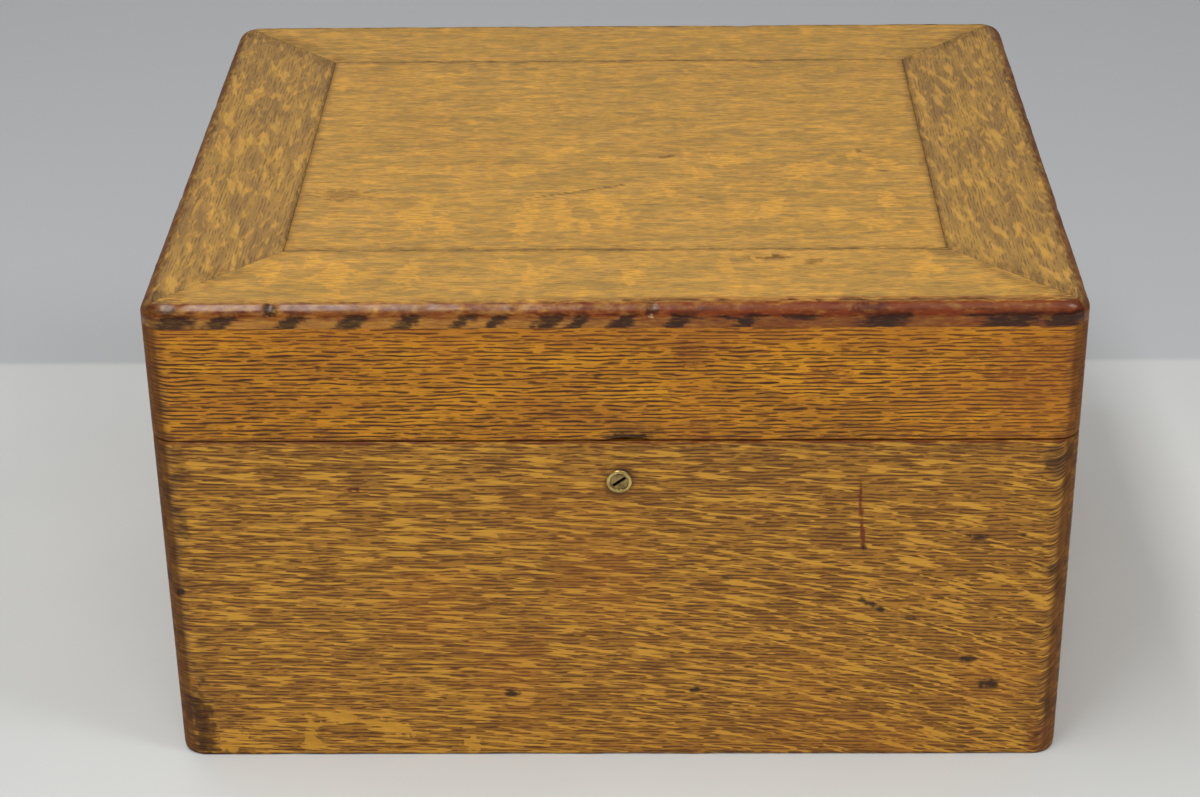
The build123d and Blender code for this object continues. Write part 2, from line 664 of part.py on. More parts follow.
def tray_partitions(in_x, in_y, base):
    """Thin boards that part the tray into cells. Their ends are let into what they meet."""
    parts = {}
    z = (base, base + PARTITION_H)
    half_z = base + PARTITION_H / 2
    wall = -in_x + KNIFE_W
    run_y = (-in_y - HOUSING, in_y + HOUSING)
    long_side = block((wall, wall + PARTITION_T), run_y, z)
    end_y = -in_y + KNIFE_D
    knife_end = block((-in_x - HOUSING, wall + HOUSING), (end_y, end_y + PARTITION_T), z)
    start = wall + PARTITION_T
    column = (in_x - start - 2 * PARTITION_T) / 3
    cross_y = (end_y, end_y + PARTITION_T)
    cross = block((start - HOUSING, in_x + HOUSING), cross_y, z)
    columns = []
    for i in (1, 2):
        x = start + i * column + (i - 1) * PARTITION_T
        board = block((x, x + PARTITION_T), run_y, z)
        notch = block((x, x + PARTITION_T), cross_y, (half_z, z[1]))
        columns.append(board - notch)
        cross = cross - block((x, x + PARTITION_T), cross_y, (z[0], half_z))
    parts["knife_side_partition"] = cut(long_side, [knife_end, cross])
    parts["knife_end_partition"] = knife_end
    parts["cell_cross_partition"] = cross
    parts["cell_column_partitions"] = group(columns)
    return parts


def knife_rack(left, y, base):
    """A bar with a slot for each knife."""
    rack = block((left, left + KNIFE_W), (y - RACK_T / 2, y + RACK_T / 2), (base, base + RACK_H))
    slot_w, slot_h = KNIFE_SLOT
    first = left + (KNIFE_W - (KNIVES - 1) * KNIFE_PITCH) / 2
    for i in range(KNIVES):
        x = first + i * KNIFE_PITCH
        low = base + RACK_H - slot_h
        slot = block((x - slot_w / 2, x + slot_w / 2), (y - RACK_T, y + RACK_T), (low, base + 2 * RACK_H))
        rack = rack - slot
    return rack


def main():
    """Builds every node and writes it to its own file."""
    nodes = {}
    for build in (case_parts, well_lining_parts, lid_parts, hinge_parts, lock_parts, tray_parts):
        nodes.update(build())
    os.makedirs("parts", exist_ok=True)
    for name, shape in nodes.items():
        export_step(shape, f"parts/{name}.step")


if __name__ == "__main__":
    main()
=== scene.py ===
"""Dresses the silverware chest in golden oak, old brass and green baize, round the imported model.

Shapes and grain are worked out in millimetres, and Piece turns them into metres. The studio is in metres.
+X is the chest's right, +Y its back and +Z up. Colours are sRGB hex values.
"""

import logging
import math
from dataclasses import dataclass
from enum import Enum

import bpy
import numpy as np
from mathutils import Matrix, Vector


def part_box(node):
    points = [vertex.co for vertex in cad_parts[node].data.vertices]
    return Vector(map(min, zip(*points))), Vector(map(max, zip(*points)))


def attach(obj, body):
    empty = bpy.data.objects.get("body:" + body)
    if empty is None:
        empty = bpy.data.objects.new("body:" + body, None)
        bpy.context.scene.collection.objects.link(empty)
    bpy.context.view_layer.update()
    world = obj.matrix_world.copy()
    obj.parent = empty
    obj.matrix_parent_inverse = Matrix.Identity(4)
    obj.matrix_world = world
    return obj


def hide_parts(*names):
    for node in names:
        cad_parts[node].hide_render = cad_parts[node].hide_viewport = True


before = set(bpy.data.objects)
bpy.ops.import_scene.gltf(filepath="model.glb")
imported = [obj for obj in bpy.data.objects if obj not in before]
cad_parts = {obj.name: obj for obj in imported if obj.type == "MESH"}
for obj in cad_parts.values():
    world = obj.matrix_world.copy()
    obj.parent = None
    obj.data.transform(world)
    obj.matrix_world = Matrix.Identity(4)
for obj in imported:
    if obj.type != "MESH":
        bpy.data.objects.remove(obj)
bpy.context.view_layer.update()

MM = 0.001
# The angle from which an edge stays crisp, the sections round a bend, and the last one's gap to the mitre
SHARP_DEGREES = 34.0
BEND_POINTS = 9
MITRE_STEP = 0.35
# The waves in which an edge is rubbed
RUB_WAVES = (23, 6)
# The noise that roughens a mark's outline, and where the mark ends and is whole, in half sizes
MARK_PATCH, MARK_SEED = 2.2, 11
MARK_END, MARK_WHOLE = 1.35, 0.55
log = logging.getLogger("chest")
Array = np.ndarray
Socket = bpy.types.NodeSocket
Material = bpy.types.Material


class Side(Enum):
    """The side of the chest that a board is on, as quarter turns about Z from the front."""

    FRONT = 0
    RIGHT = 1
    BACK = 2
    LEFT = 3

    @property
    def word(self) -> str:
        """The side's name as the nodes spell it."""
        return self.name.lower()

    @property
    def long(self) -> bool:
        """Whether the side runs along X."""
        return self.value % 2 == 0


class Flow(Enum):
    """Where a pattern gets its run along, across and into the wood from."""

    BOARD = "the grain attribute of a board made here"
    ALONG_X = "object coordinates, with the grain along X"
    ALONG_Y = "object coordinates, with the grain along Y"


class Tint(Enum):
    """What a mark does to the wood: its channel, three in the marks attribute and three in zones."""

    DIRT = 0
    RED = 1
    PALE = 2
    FIGURE = 3
    BROWN = 4
    WARM = 5


# Shapes worked out with numpy


def smooth_noise(at: Array, step: float, seed: int) -> Array:
    """Gentle random heights along a line.

    Seeded random values stand every step apart and are joined by smoothstep curves.

    Args:
        at: places along the line.
        step: the distance between two random values.
        seed: the seed of the random values.

    Returns:
        Heights from -1 to 1, one for each place.
    """
    table = np.random.default_rng(seed).uniform(-1.0, 1.0, 512)
    place = at / step
    low = np.floor(place).astype(int)
    share = ramp(place - low, 0.0, 1.0)
    return table[low % 512] * (1.0 - share) + table[(low + 1) % 512] * share


def patchy(x: Array, y: Array, step: float, seed: int) -> Array:
    """Gentle random heights over a surface.

    Seeded random values stand on a square lattice and are joined by smoothstep surfaces.

    Args:
        x: places along the first direction.
        y: places along the second direction.
        step: the distance between two random values.
        seed: the seed of the random values.

    Returns:
        Heights from -1 to 1, one for each place.
    """
    table = np.random.default_rng(seed).uniform(-1.0, 1.0, (256, 256))
    px, py = x / step, y / step
    ix, iy = np.floor(px).astype(int), np.floor(py).astype(int)
    fx, fy = ramp(px - ix, 0.0, 1.0), ramp(py - iy, 0.0, 1.0)
    low = table[ix % 256, iy % 256] * (1.0 - fx) + table[(ix + 1) % 256, iy % 256] * fx
    high = table[ix % 256, (iy + 1) % 256] * (1.0 - fx) + table[(ix + 1) % 256, (iy + 1) % 256] * fx
    return low * (1.0 - fy) + high * fy


def ramp(value: Array, low: float, high: float) -> Array:
    """0 below low, 1 above high, and a smoothstep between. A low above high turns it round."""
    share = np.clip((value - low) / (high - low), 0.0, 1.0)
    return share * share * (3.0 - 2.0 * share)


def spread(low: float, high: float, step: float) -> Array:
    """Even places from low to high, about step apart."""
    return np.linspace(low, high, max(2, int(round(abs(high - low) / step)) + 1))


def trace(*corners: tuple[float, ...], arc: int = 5) -> Array:
    """A closed section through square corners.

    A corner's row is its place across and up, its radius, and the spacing of points after it. The last
    two may be left out, for 0 and 6. A rounded corner is a quarter circle: its centre plus the radius
    times cosine and sine of the turn along the two edges that meet there.

    Args:
        corners: the corners' rows in order round the section.
        arc: the number of steps in each quarter circle.

    Returns:
        Points of the section, one row each, without a repeat of the first.
    """
    rows = np.array([(*corner, *(0.0, 6.0)[len(corner) - 2 :]) for corner in corners])
    places, radii, steps = rows[:, :2], rows[:, 2], rows[:, 3]
    ahead = np.roll(places, -1, axis=0) - places
    ahead = ahead / np.linalg.norm(ahead, axis=1)[:, None]
    rounds = []
    for place, radius, a, b in zip(places, radii, np.roll(ahead, 1, axis=0), ahead):
        turn = np.linspace(0.0, math.pi / 2, arc + 1 if radius else 1)[:, None]
        rounds.append(place + radius * (b - a + a * np.sin(turn) - b * np.cos(turn)))
    parts = []
    for i, step in enumerate(steps):
        start, end = rounds[i][-1], rounds[(i + 1) % len(rounds)][0]
        count = max(1, int(round(np.linalg.norm(end - start) / step)))
        parts += [rounds[i], start + (end - start) * (np.arange(1, count) / count)[:, None]]
    return np.concatenate(parts)


def sweep(sections: Array, joined: bool = False) -> tuple[Array, list]:
    """The skin over a row of closed sections.

    Point j of section i is joined to its neighbours round the section and in the next one by quads.

    Args:
        sections: points as sections by points by three.
        joined: whether the last section meets the first. If not, a face closes each end.

    Returns:
        The points and the faces.
    """
    count, around, _ = sections.shape
    rows = np.arange(count if joined else count - 1)[:, None]
    here = np.arange(around)[None, :]
    after = (here + 1) % around
    base, ahead = rows * around, ((rows + 1) % count) * around
    quads = np.stack([base + here, base + after, ahead + after, ahead + here], axis=-1)
    faces = quads.reshape(-1, 4).tolist()
    if not joined:
        faces.append(list(range(around))[::-1])
        faces.append(list(range((count - 1) * around, count * around)))
    return sections.reshape(-1, 3), faces


def outward(points: Array, faces: list) -> list:
    """Turns a closed skin's faces outwards.

    Args:
        points: the skin's points.
        faces: its faces, all turned the same way.

    Returns:
        The faces, turned so that the skin's volume, the sum of its fans' tetrahedra, is positive.
    """
    volume = 0.0
    for size in {len(face) for face in faces}:
        ring = np.array([face for face in faces if len(face) == size])
        for k in range(1, size - 1):
            a, b, c = points[ring[:, 0]], points[ring[:, k]], points[ring[:, k + 1]]
            volume += float((a * np.cross(b, c)).sum())
    return faces if volume > 0.0 else [face[::-1] for face in faces]


@dataclass
class Piece:
    """A closed skin in millimetres, on its way to being a shown object. A tool is no more than its skin."""

    name: str
    points: Array
    faces: list
    body: str = ""
    node: str = ""
    slot: str = ""
    shown: bpy.types.Object = None

    def build(self, tools: tuple["Piece", ...] = ()) -> "Piece":
        """Makes the object, cuts the tools out of it and gives it to its body in place of its CAD node.

        Args:
            tools: closed skins to cut away, one after another.

        Returns:
            The piece itself, whose object now stands at the origin.
        """
        self.shown = self.solid()
        for tool in tools:
            cutter = tool.solid()
            cut = self.shown.modifiers.new("cut", "BOOLEAN")
            cut.operation, cut.solver, cut.object = "DIFFERENCE", "EXACT", cutter
            graph = bpy.context.evaluated_depsgraph_get()
            mesh = bpy.data.meshes.new_from_object(self.shown.evaluated_get(graph))
            self.shown.modifiers.clear()
            self.shown.data = mesh
            bpy.data.objects.remove(cutter)
        mesh = self.shown.data
        mesh.name = self.name
        mesh.shade_smooth()
        mesh.set_sharp_from_angle(angle=math.radians(SHARP_DEGREES))
        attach(self.shown, self.body)
        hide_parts(self.node)
        log.info("%s: %d faces, on %s", self.name, len(mesh.polygons), self.body)
        return self

    def solid(self) -> bpy.types.Object:
        """Makes the bare object of the skin.

        Returns:
            The object, in metres, linked to the scene.
        """
        mesh = bpy.data.meshes.new(self.name)
        mesh.from_pydata((self.points * MM).tolist(), [], outward(self.points, self.faces))
        mesh.validate()
        piece = bpy.data.objects.new(self.name, mesh)
        bpy.context.scene.collection.objects.link(piece)
        return piece

    def places(self) -> Array:
        """Reads the points of the finished mesh.

        Returns:
            Their places in millimetres, one row each.
        """
        mesh = self.shown.data
        flat = np.empty(len(mesh.vertices) * 3, np.float32)
        mesh.vertices.foreach_get("co", flat)
        return flat.reshape(-1, 3).astype(float) / MM

    def keep(self, name: str, *columns: Array) -> None:
        """Stores three numbers for each point as a vector attribute."""
        layer = self.shown.data.attributes.new(name, "FLOAT_VECTOR", "POINT")
        layer.data.foreach_set("vector", np.column_stack(columns).astype(np.float32).ravel())

    def dress(self, material: Material) -> None:
        """Gives the object its material."""
        self.shown.data.materials.clear()
        self.shown.data.materials.append(material)


def box(node: str) -> tuple[Array, Array]:
    """The low and the high corner of a CAD node's box, in millimetres."""
    low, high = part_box(node)
    return np.array(low) / MM, np.array(high) / MM


def turned(side: Side, x: Array, y: Array) -> tuple[Array, Array]:
    """Turns plan coordinates from the front to a side, by whole quarter turns about Z."""
    cos, sin = ((1, 0), (0, 1), (-1, 0), (0, -1))[side.value]
    return x * cos - y * sin, x * sin + y * cos


def box_tool(low: tuple, high: tuple) -> Piece:
    """A box to cut with.

    Args:
        low: its low corner.
        high: its high corner.

    Returns:
        The tool.
    """
    (x0, y0, z0), (x1, y1, z1) = low, high
    ring = ((x0, y0), (x1, y0), (x1, y1), (x0, y1))
    return Piece("tool", *sweep(np.array([[(x, y, z) for x, y in ring] for z in (z0, z1)])))


def rings(radii: Array, heights: Array, start: Array, turns: int) -> Array:
    """Circles round an axis that runs along Y.

    Args:
        radii: a radius for each ring, or a row with one for each angle.
        heights: how far behind the start each ring stands.
        start: the axis's start.
        turns: the number of points in a ring.

    Returns:
        Sections for sweep.
    """
    angle = np.linspace(0.0, 2 * math.pi, turns, endpoint=False)
    radii = np.broadcast_to(np.reshape(radii, (len(heights), -1)), (len(heights), turns))
    deep = np.broadcast_to(np.reshape(heights, (-1, 1)), radii.shape)
    return start + np.stack([radii * np.cos(angle), deep, -radii * np.sin(angle)], axis=-1)


@dataclass(frozen=True)
class Mark:
    """A stain, knot, nick or flame on a board's face: a tilted ellipse, in millimetres and degrees."""

    tint: Tint
    along: float
    up: float
    length: float
    height: float
    strength: float = 1.0
    tilt: float = 0.0

    def cover(self, along: Array, up: Array) -> Array:
        """How much of the mark lies on each place.

        The distance from the middle, each way over the half size, is roughened by gentle noise and
        turned into a share that falls from 1 inside to 0 outside.

        Args:
            along: places along the face.
            up: places up the face.

        Returns:
            A share for each place.
        """
        x, y = along - self.along, up - self.up
        cos, sin = math.cos(math.radians(self.tilt)), math.sin(math.radians(self.tilt))
        run, rise = (x * cos + y * sin) / (self.length / 2), (y * cos - x * sin) / (self.height / 2)
        rough = 0.5 * patchy(along, up, MARK_PATCH, MARK_SEED)
        return self.strength * ramp(np.hypot(run, rise) + rough, MARK_END, MARK_WHOLE)


def marks_of(tint: Tint, *rows: tuple[float, ...]) -> tuple[Mark, ...]:
    """Marks of one tint, from rows in the order of Mark's fields: along, up, length, height and so on."""
    return tuple(Mark(tint, *row) for row in rows)


@dataclass(frozen=True)
class Rub:
    """An outer edge that hands and knocks have worn: its height, the way it went, and how far."""

    height: float
    up: float
    reach: float
    least: float
    most: float
    seed: int


@dataclass(frozen=True)
class Joinery:
    """Sizes that the case, the lid and the top share."""

    width: float = 560.0
    depth: float = 472.0
    board: float = 19.0
    corner: float = 16.0
    ease: float = 0.5
    hinge_leaf_deep: float = 16.0
    hinge_leaf_thick: float = 2.2


@dataclass
class Board:
    """A mitred board of the chest: a section carried along a side, round half of each corner.

    Depth is measured inwards from the outer face. Along the straight the section stays as it is. In the
    corner zone a point nearer the face than the corner's radius goes straight and then round an arc of
    that radius less its depth, and a deeper one goes straight to the mitre. Both go by the same share of
    their way. The face lies up to uneven's first number under its true plane, in waves of its second.
    """

    name: str
    side: Side
    section: Array
    zone: float
    step: float
    seed: int
    rubs: tuple[Rub, ...]
    uneven: tuple[float, float] = (0.05, 45.0)
    notch: tuple[float, ...] = ()
    dents: tuple[tuple[float, float, float], ...] = ()
    joinery: Joinery = Joinery()

    def __post_init__(self) -> None:
        """Takes the corner's radius, and half the side's length and distance apart, from the joinery."""
        halves = (self.joinery.width / 2, self.joinery.depth / 2)
        self.half_length, self.half_depth = halves if self.side.long else halves[::-1]
        self.radius = self.joinery.corner

    def stations(self) -> Array:
        """Where the sections stand: evenly over the straight, and closer round the corner.

        Returns:
            Shares along the board: from 0 in the middle to 1 at the corner zone and 2 at the mitre.
        """
        straight = spread(0.0, 1.0, self.step / (self.half_length - self.zone))
        run, arc = self.zone - self.radius, self.radius * math.pi / 4
        turn = run / (run + arc)
        bend = np.linspace(turn, 1.0, BEND_POINTS)[1:]
        corner = np.concatenate([spread(0.0, turn, self.step / (run + arc))[1:], bend])
        last = corner[-1] - MITRE_STEP / (run + arc)
        half = np.concatenate([straight, 1.0 + corner[:-1], [1.0 + last, 2.0]])
        return np.concatenate([-half[:0:-1], half])

    def follow(self, share: Array, depth: Array) -> tuple[Array, Array]:
        """Carries points of the section along the side.

        Args:
            share: the station of each point.
            depth: the depth of each point under the outer face.

        Returns:
            The place along the side and the depth under the straight outer face.
        """
        start, run = self.half_length - self.zone, self.zone - self.radius
        straight = np.minimum(np.abs(share), 1.0) * start
        part = np.clip(np.abs(share) - 1.0, 0.0, 1.0)
        arc_r = np.maximum(self.radius - depth, 0.0)
        rounded = depth < self.radius
        way = part * np.where(rounded, run + arc_r * math.pi / 4, self.zone - depth)
        angle = np.where(rounded, np.clip(way - run, 0.0, None) / np.maximum(arc_r, 1e-6), 0.0)
        along = np.where(rounded, np.minimum(way, run) + arc_r * np.sin(angle), way)
        return np.sign(share) * (straight + along), depth + arc_r * (1.0 - np.cos(angle))

    def skin(self) -> tuple[Array, list]:
        """The board's closed skin, with its rubbed edges and slightly uneven face.

        A rub moves a point by the square of its nearness to the edge, times an amount that gentle noise
        along the edge takes from the least to the most.

        Returns:
            The points and the faces.
        """
        share = self.stations()[:, None]
        depth, up = (np.repeat(self.section[None, :, axis], len(share), axis=0) for axis in (0, 1))
        run, _ = self.follow(share, np.zeros_like(share))
        for rub in self.rubs:
            near = np.clip(1.0 - np.hypot(depth, up - rub.height) / rub.reach, 0.0, 1.0) ** 2
            coarse, fine = (smooth_noise(run, wave, rub.seed + i) for i, wave in enumerate(RUB_WAVES))
            worn = 0.5 + 0.32 * coarse + 0.18 * fine
            amount = near * (rub.least + (rub.most - rub.least) * worn)
            depth, up = depth + amount, up + rub.up * amount
        most, wave = self.uneven
        depth = depth + ramp(depth, 2, 0.5) * most * (1.0 + patchy(run, up, wave, self.seed))
        depth, up = self.shaped(run, depth, up)
        along, under = self.follow(share, depth)
        x, y = turned(self.side, along, under - self.half_depth)
        return sweep(np.stack([x, y, up], axis=-1))

    def shaped(self, run: Array, depth: Array, up: Array) -> tuple[Array, Array]:
        """Gives the board its notch and its dents.

        The notch lifts the lower edge in a parabola along it, as far in as the notch is deep. A dent
        presses the rounded upper edge in by a bell of its width and depth.

        Args:
            run: the place of each point along the board.
            depth: its depth under the face.
            up: its height.

        Returns:
            The new depths and heights.
        """
        if self.notch:
            at, width, height, deep = self.notch
            arch = height * np.clip(1.0 - ((run - at) / (width / 2)) ** 2, 0.0, None)
            up = up + arch * ramp(up - self.section[:, 1].min(), 3, 1.2) * (depth < deep)
        rounded = ramp(up, 309, 314) * ramp(depth, 14, 9)
        for at, width, deep in self.dents:
            bell = np.exp(-(((run - at) / width) ** 2)) * deep * rounded
            depth, up = depth + 0.5 * bell, up - bell
        return depth, up

    def build(self, body: str, node: str, tools: tuple[Piece, ...] = ()) -> Piece:
        """Builds the board in place of its CAD node."""
        return Piece(self.name, *self.skin(), body, node, "oak").build(tools)

    def local(self, places: Array) -> tuple[Array, Array, Array]:
        """Turns places in the chest back to the board.

        Args:
            places: points in the chest, one row each.

        Returns:
            Their places along the side, their depths under its face and their heights.
        """
        back = (Side.FRONT, Side.LEFT, Side.BACK, Side.RIGHT)[self.side.value]
        x, y = turned(back, places[:, 0], places[:, 1])
        return x, y + self.half_depth, places[:, 2]

    def under(self, along: Array, depth: Array) -> Array:
        """The depth under the outer face where that turns the corner: its circle's height is taken off."""
        past = np.clip(np.abs(along) - self.half_length + self.radius, 0.0, self.radius)
        return np.clip(depth - self.radius + np.sqrt(self.radius**2 - past**2), 0.0, None)

    def mitre_line(self, along: Array, depth: Array, width: float) -> Array:
        """1 on the mitre and 0 from width away: the distance to the diagonal through the corner."""
        away = (self.half_length - depth - np.abs(along)) / math.sqrt(2)
        return ramp(away, width, 0.2 * width)


# Materials


def linear(code: str) -> tuple[float, float, float, float]:
    """An sRGB hex value as a linear colour with an alpha of one."""
    parts = [int(code[i : i + 2], 16) / 255 for i in (1, 3, 5)]
    return (*[c / 12.92 if c <= 0.04045 else ((c + 0.055) / 1.055) ** 2.4 for c in parts], 1.0)


@dataclass
class Graph:
    """A node tree that is being filled: a material's, or the world's."""

    owner: Material | bpy.types.World

    def __post_init__(self) -> None:
        """Empties the tree."""
        self.owner.use_nodes = True
        self.tree = self.owner.node_tree
        self.tree.nodes.clear()

    def add(self, kind: str, *inputs, out: int | str = 0, **settings) -> Socket:
        """Adds one node with its settings and links.

        Args:
            kind: the node's type without its common prefix.
            inputs: for each socket in use, a socket to link, a value to set, or None to leave it.
            out: the output that is wanted, by place or name.
            settings: the node's own properties, and in sockets the values of sockets by name.

        Returns:
            The wanted output socket.
        """
        node = self.tree.nodes.new("ShaderNode" + kind)
        named = settings.pop("sockets", {})
        for key, value in settings.items():
            setattr(node, key, value)
        in_use = [socket for socket in node.inputs if socket.enabled]
        pairs = list(zip(in_use, inputs)) + [(node.inputs[key], value) for key, value in named.items()]
        for socket, value in pairs:
            if isinstance(value, Socket):
                self.tree.links.new(value, socket)
            elif value is not None:
                socket.default_value = value
        outputs = [socket for socket in node.outputs if socket.enabled] or [None]
        return node.outputs[out] if isinstance(out, str) else outputs[out]

    def math(self, operation: str, *values: Socket | float) -> Socket:
        """A sum of sockets or numbers."""
        return self.add("Math", *values, operation=operation)

    def fit(self, value: Socket, low: float, high: float, start: float = 0.0, end: float = 1.0,
            kind: str = "LINEAR") -> Socket:
        """Start where the value is low or less, end where it is high or more, and a slope between."""
        return self.add("MapRange", value, low, high, start, end, interpolation_type=kind)

    def noise(self, place: Socket, detail: float, rough: float = 0.5, scale: float = 1.0,
              stretch: tuple | None = None, move: tuple | None = None) -> Socket:
        """Noise at a place, which may be scaled and moved first."""
        moved = self.add("Mapping", place, move, None, stretch) if stretch else place
        return self.add("TexNoise", moved, scale, detail, rough)

    def blend(self, share: Socket, below: Socket | str, code: str) -> Socket:
        """Lays a colour over another by a share."""
        under = linear(below) if isinstance(below, str) else below
        return self.add("Mix", share, under, linear(code), data_type="RGBA")

    def zone(self, tint: Tint) -> Socket:
        """The share of a tint at each place of a board."""
        name, channel = ("marks", "zones")[tint.value // 3], tint.value % 3
        return self.add("SeparateXYZ", self.add("Attribute", attribute_name=name, out="Vector"), out=channel)

    def surface(self, bump: tuple[Socket, float, float] | None = None, **sockets) -> Material:
        """Closes a material with its bump, its surface shader and its output.

        Args:
            bump: the surface's height, the bump's strength and its distance in metres.
            sockets: the shader's sockets, in small letters with _ for a space.

        Returns:
            The material.
        """
        named = {}
        for key, value in sockets.items():
            named[key.replace("_", " ").title().replace("Ior", "IOR")] = value
        if bump:
            steps = dict(zip(("Height", "Strength", "Distance"), bump))
            named["Normal"] = self.add("Bump", sockets=steps)
        self.add("OutputMaterial", self.add("BsdfPrincipled", sockets=named))
        return self.owner


# How many times a millimetre the noises change along, across and into the wood
BUNDLES = (1 / 26, 1 / 1.3, 1 / 26)
SWAY = (1 / 38, 1 / 9, 1 / 40)
CLOUDS = (0.014, 0.06, 0.014)
FIBRES = (0.12, 1.3, 0.6)
WEAR = (0.14, 0.62, 0.3)
# How far tearing pushes a fibre bundle and sway a row of pores, in mm, and how far apart rows read noise
TEAR_REACH, SWAY_REACH, ROW_APART = 2.2, 5.5, 3.71


@dataclass(frozen=True)
class Streaks:
    """Streaks or flecks: noise stretched along the grain and cut at a level. Millimetres and degrees."""

    colour: str
    length: float
    width: float
    level: float
    soft: float
    strength: float
    slope: float = 0.0
    detail: float = 1.0
    tear: float = 0.0
    figure: float = 0.0
    rays: bool = False

    def mask(self, g: Graph, run: Socket, seed: float) -> Socket:
        """The share of the streaks' colour at each place.

        Torn streaks have their ends drawn out along the grain: the place along is first pushed by noise
        that changes from fibre bundle to fibre bundle, 1.3 mm apart. Rays cross the grain lines, by the
        shift that the board keeps in its rays attribute.

        Args:
            g: the graph to add to.
            run: the socket with the place along, across and into the wood.
            seed: a shift into another part of the noise.

        Returns:
            A socket from 0 to the streaks' strength.
        """
        if self.tear:
            bundles = g.noise(run, 0.0, stretch=BUNDLES, move=(seed, 0.0, 0.0))
            push = g.math("MULTIPLY", g.math("SUBTRACT", bundles, 0.5), TEAR_REACH * self.tear)
            run = g.add("VectorMath", run, g.add("CombineXYZ", push), operation="ADD")
        if self.rays:
            shift = g.add("Attribute", attribute_name="rays", out="Vector")
            run = g.add("VectorMath", run, shift, operation="ADD")
        if self.slope:
            run = g.add("Mapping", run, None, (0.0, 0.0, math.radians(-self.slope)))
        scale = (1 / self.length, 1 / self.width, 2 / self.length)
        noise = g.noise(run, self.detail, stretch=scale, move=(seed, seed * 1.7, seed * 0.3))
        if self.figure:
            noise = g.math("MULTIPLY_ADD", g.zone(Tint.FIGURE), self.figure, noise)
        return g.fit(noise, self.level - self.soft, self.level + self.soft, 0.0, self.strength, "SMOOTHSTEP")


@dataclass(frozen=True)
class Dashes:
    """Dark pores in rows: thin dashes that start, swell and die out along each row. Millimetres."""

    colour: str
    pitch: float
    thick: float
    length: float
    level: float
    strength: float
    wander: float = 1.0

    def mask(self, g: Graph, run: Socket, seed: float) -> Socket:
        """The share of the dashes' colour at each place.

        The rows are the whole part of the place across over the pitch, pushed up and down by gentle
        noise. In a row, noise along it less a level gives the dash's half thickness up to a limit, and
        the dash covers what is nearer to the row's middle than that. The same noise darkens its middle.

        Args:
            g: the graph to add to.
            run: the socket with the place along, across and into the wood.
            seed: a shift into another part of the noise.

        Returns:
            A socket from 0 to the dashes' strength.
        """
        sway = g.noise(run, 2.0, 0.65, stretch=SWAY, move=(seed, 0.0, seed))
        sway = g.math("MULTIPLY", sway, SWAY_REACH * self.wander / self.pitch)
        along, across = (g.add("SeparateXYZ", run, out=axis) for axis in "XY")
        rows = g.math("MULTIPLY_ADD", across, 1 / self.pitch, sway)
        row = g.math("MULTIPLY_ADD", g.math("FLOOR", rows), ROW_APART, seed)
        place = g.math("SUBTRACT", g.math("FRACT", rows), 0.5)
        spot = g.add("CombineXYZ", g.math("MULTIPLY", along, 1 / self.length), row, 0.0)
        noise = g.add("TexNoise", spot, 1.0, 1.0, 0.6, noise_dimensions="2D")
        most = 0.5 * self.thick / self.pitch
        half = g.fit(noise, self.level, self.level + 0.09, -0.3 * most, most)
        gap = g.math("SUBTRACT", half, g.math("ABSOLUTE", place))
        share = g.fit(gap, -0.35 * most, 0.5 * most, 0.0, self.strength, "SMOOTHSTEP")
        return g.math("MULTIPLY", share, g.fit(noise, self.level, self.level + 0.22, 0.6, 1.0))


# How age tints the wood, in the order the tints are laid: the tint, its colour and the most it covers. The
# dirt tint also lays painted shade
AGE_TINTS = (
    (Tint.BROWN, "#47280C", 0.76),
    (Tint.WARM, "#AC601A", 0.5),
    (Tint.RED, "#6C280C", 0.92),
    (Tint.DIRT, "#22100A", 0.88),
    (Tint.PALE, "#DDC9A6", 0.8),
)


